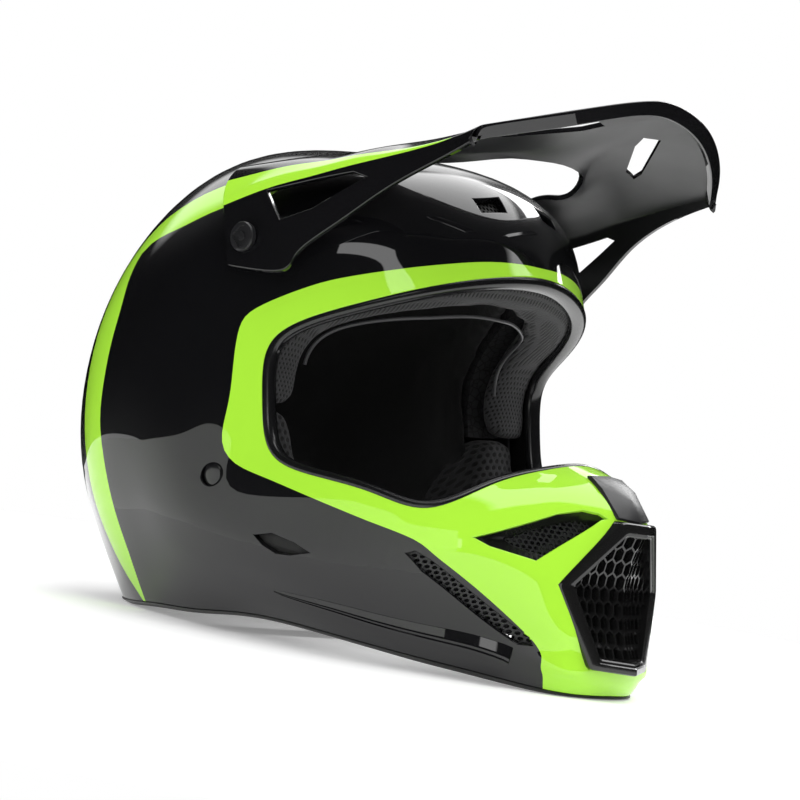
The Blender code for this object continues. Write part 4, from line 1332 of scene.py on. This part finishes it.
def softbox_glow(tree, way):
    """How bright the studio is in a direction, as reflections see it."""

    def within(axis, half, edge):
        """1 inside a band around an axis's plane, 0 outside it."""
        along = add_node(tree, "VectorMath", way, tuple(axis), operation="DOT_PRODUCT").outputs["Value"]
        along = add_node(tree, "Math", along, operation="ABSOLUTE").outputs[0]
        return add_node(tree, "MapRange", along, half, half + edge, 1.0, 0.0).outputs["Result"]

    def math(operation, a, b):
        return add_node(tree, "Math", a, b, operation=operation).outputs[0]

    glow = None
    for direction, half_wide, half_high, strength, edge in SOFTBOXES:
        facing = Vector(direction).normalized()
        across = facing.cross(Vector((0, 0, 1))).normalized()
        over = across.cross(facing)
        front = add_node(tree, "VectorMath", way, tuple(facing), operation="DOT_PRODUCT").outputs["Value"]
        lit = add_node(tree, "MapRange", front, 0.0, 0.05, 0.0, strength).outputs["Result"]
        lit = math("MULTIPLY", lit, within(across, half_wide, edge))
        lit = math("MULTIPLY", lit, within(over, half_high, edge))
        glow = lit if glow is None else math("ADD", glow, lit)
    return math("ADD", glow, 0.004)


def make_world():
    """White to the camera, an even glow for diffuse light, and a dark room with softboxes in reflections."""
    world = bpy.data.worlds.new("studio")
    bpy.context.scene.world = world
    world.use_nodes = True
    tree = world.node_tree
    tree.nodes.clear()
    way = add_node(tree, "TexCoord").outputs["Generated"]
    rays = add_node(tree, "LightPath")
    height = add_node(tree, "SeparateXYZ", way).outputs["Z"]
    sky = add_node(tree, "MapRange", height, -0.3, 1.0, 1.0, 0.8).outputs["Result"]
    mix = add_node(tree, "Mix", data_type="FLOAT")
    tree.links.new(rays.outputs["Is Diffuse Ray"], mix.inputs["Factor"])
    tree.links.new(softbox_glow(tree, way), mix.inputs["A"])
    tree.links.new(sky, mix.inputs["B"])
    seen = add_node(tree, "Mix", data_type="FLOAT")
    tree.links.new(rays.outputs["Is Camera Ray"], seen.inputs["Factor"])
    tree.links.new(mix.outputs["Result"], seen.inputs["A"])
    seen.inputs["B"].default_value = 1.0
    light = add_node(tree, "Background", None, 1.0)
    tree.links.new(seen.outputs["Result"], light.inputs["Color"])
    tree.links.new(light.outputs[0], add_node(tree, "OutputWorld").inputs["Surface"])


def area_light(name, place, target, size, power):
    """A soft lamp that polished faces don't reflect."""
    lamp = bpy.data.lights.new(name, "AREA")
    lamp.shape = "RECTANGLE"
    lamp.size, lamp.size_y = size
    lamp.energy = power
    obj = bpy.data.objects.new(name, lamp)
    obj.location = place
    obj.rotation_mode = "QUATERNION"
    obj.rotation_quaternion = (Vector(target) - Vector(place)).to_track_quat("-Z", "Y")
    obj.visible_glossy = False
    bpy.context.scene.collection.objects.link(obj)


# ---- the order of building ----

BROW_LEAN = 0.33  # how much the brow cushion leans out of the eyeport
# The reflector card: half sizes of its curve, and its height at some turns from the back
CARD_SIZE = (0.21, 0.25)
CARD_TURNS, CARD_TOPS = (5, 55, 85, 105, 140), (0.048, 0.068, 0.107, 0.127, 0.13)
CAMERA_PLACE = (-1.1240, -0.9173, 0.1323)
CAMERA_RIGHT, CAMERA_UP = (0.62388, -0.76444, 0.16249), (-0.09930, 0.12869, 0.98670)
# What polished faces reflect: direction, half width, half height, brightness and softness of each softbox
SOFTBOXES = (
    ((0.35, -0.05, 0.93), 0.50, 0.40, 3.4, 0.05),
    ((0.45, 0.72, 0.50), 0.34, 0.12, 1.6, 0.08),
    ((0.85, 0.15, 0.50), 0.20, 0.14, 8.0, 0.02),
    ((-0.66, -0.62, 0.40), 0.20, 0.07, 3.0, 0.01),
)

make_camera()
bpy.context.scene.view_settings.view_transform = "Standard"

BLACK = lacquer("black_lacquer", (0.003, 0.003, 0.0035), (0.005, 0.005, 0.006))
PEAK_BLACK = lacquer("peak_black", (0.004, 0.004, 0.0045), (0.006, 0.006, 0.007))
# The lime carries a faint painted glow, set by its last value.
LIME = lacquer("lime_lacquer", (0.35, 0.72, 0.034), (0.39, 0.78, 0.046), 0.03)
INNER = moulded("shell_inside", (0.006, 0.006, 0.006), 0.7, 300.0, 0.3)
LIP = moulded("gloss_lip", (0.004, 0.004, 0.0045), 0.24, 700.0, 0.02, Coat_Weight=0.3, Coat_Roughness=0.12)
RUBBER = moulded("black_rubber", (0.008, 0.008, 0.008), 0.45, 900.0, 0.1)
GLOSS_FRAME = moulded("gloss_moulding", (0.005, 0.005, 0.005), 0.2, 800.0, 0.03, Coat_Weight=0.4)
SATIN = moulded("satin_moulding", (0.010, 0.010, 0.011), 0.38, 900.0, 0.08)
BEADS = foam_beads("liner_beads")
KNIT = perforated("perforated_knit", 2.6, 0.75, (0.022, 0.022, 0.023))
COARSE_KNIT = perforated("coarse_knit", 4.6, 1.5)
# Near-black lining: partly its own black, partly painted shade, made darker to stand for the dim inside of
# the helmet.
SHADED_NAP = brushed_knit("brushed_lining_shaded", (0.0016, 0.0016, 0.0018))
FILTER = moulded("filter_foam", (0.004, 0.004, 0.004), 1.0, 500.0, 0.9)
PIPING = moulded("piping", (0.05, 0.05, 0.052), 0.35, 900.0, 0.05)
WEBBING = webbing_weave("nylon_webbing")
STEEL = steel("black_steel")

rows = LAST_ROW + 1
shell_creases = [(k * rows + CREASE_ROW, (k + 1) * rows + CREASE_ROW) for k in range(3)]
shell_creases += [(CREASE_COLUMN * rows + j, CREASE_COLUMN * rows + j + 1) for j in range(1, 7)]
SKIN = smooth_grid("skin", SHELL, shell_creases, CREASE)
SKIN_TREE = BVHTree.FromPolygons(SKIN["place"], SKIN["faces"])
SKIN_POINTS = tree_of(SKIN["place"])

columns = len(PEAK[0])
leading = PEAK_LEADING_ROW * columns
peak_creases = [(leading + j, leading + j + 1) for j in range(columns - 1)]
peak_creases += [(k * columns + PEAK_EDGE_COLUMN, (k + 1) * columns + PEAK_EDGE_COLUMN)
                 for k in range(1, len(PEAK) - 1)]
PEAK_SKIN = smooth_grid("peak_skin_grid", PEAK, peak_creases, 0.7)

BAND = guide(BAND_LINE)
STRIPE_INNER, STRIPE_OUTER = guide(STRIPE_INNER_LINE), guide(STRIPE_OUTER_LINE)

make_shell()
make_trims()
make_rivets()
make_vents()
make_strakes()
make_mouth_frame()
make_mouth_grille()
make_filter()
make_plaque()
make_peak()
make_screws()
make_padding()
make_strap()
dress_cad_nodes()
make_floor()
make_card()
make_world()
area_light("top_softbox", (-0.4, -0.7, 1.7), (0, 0, 0.1), (1.2, 0.9), 9.0)
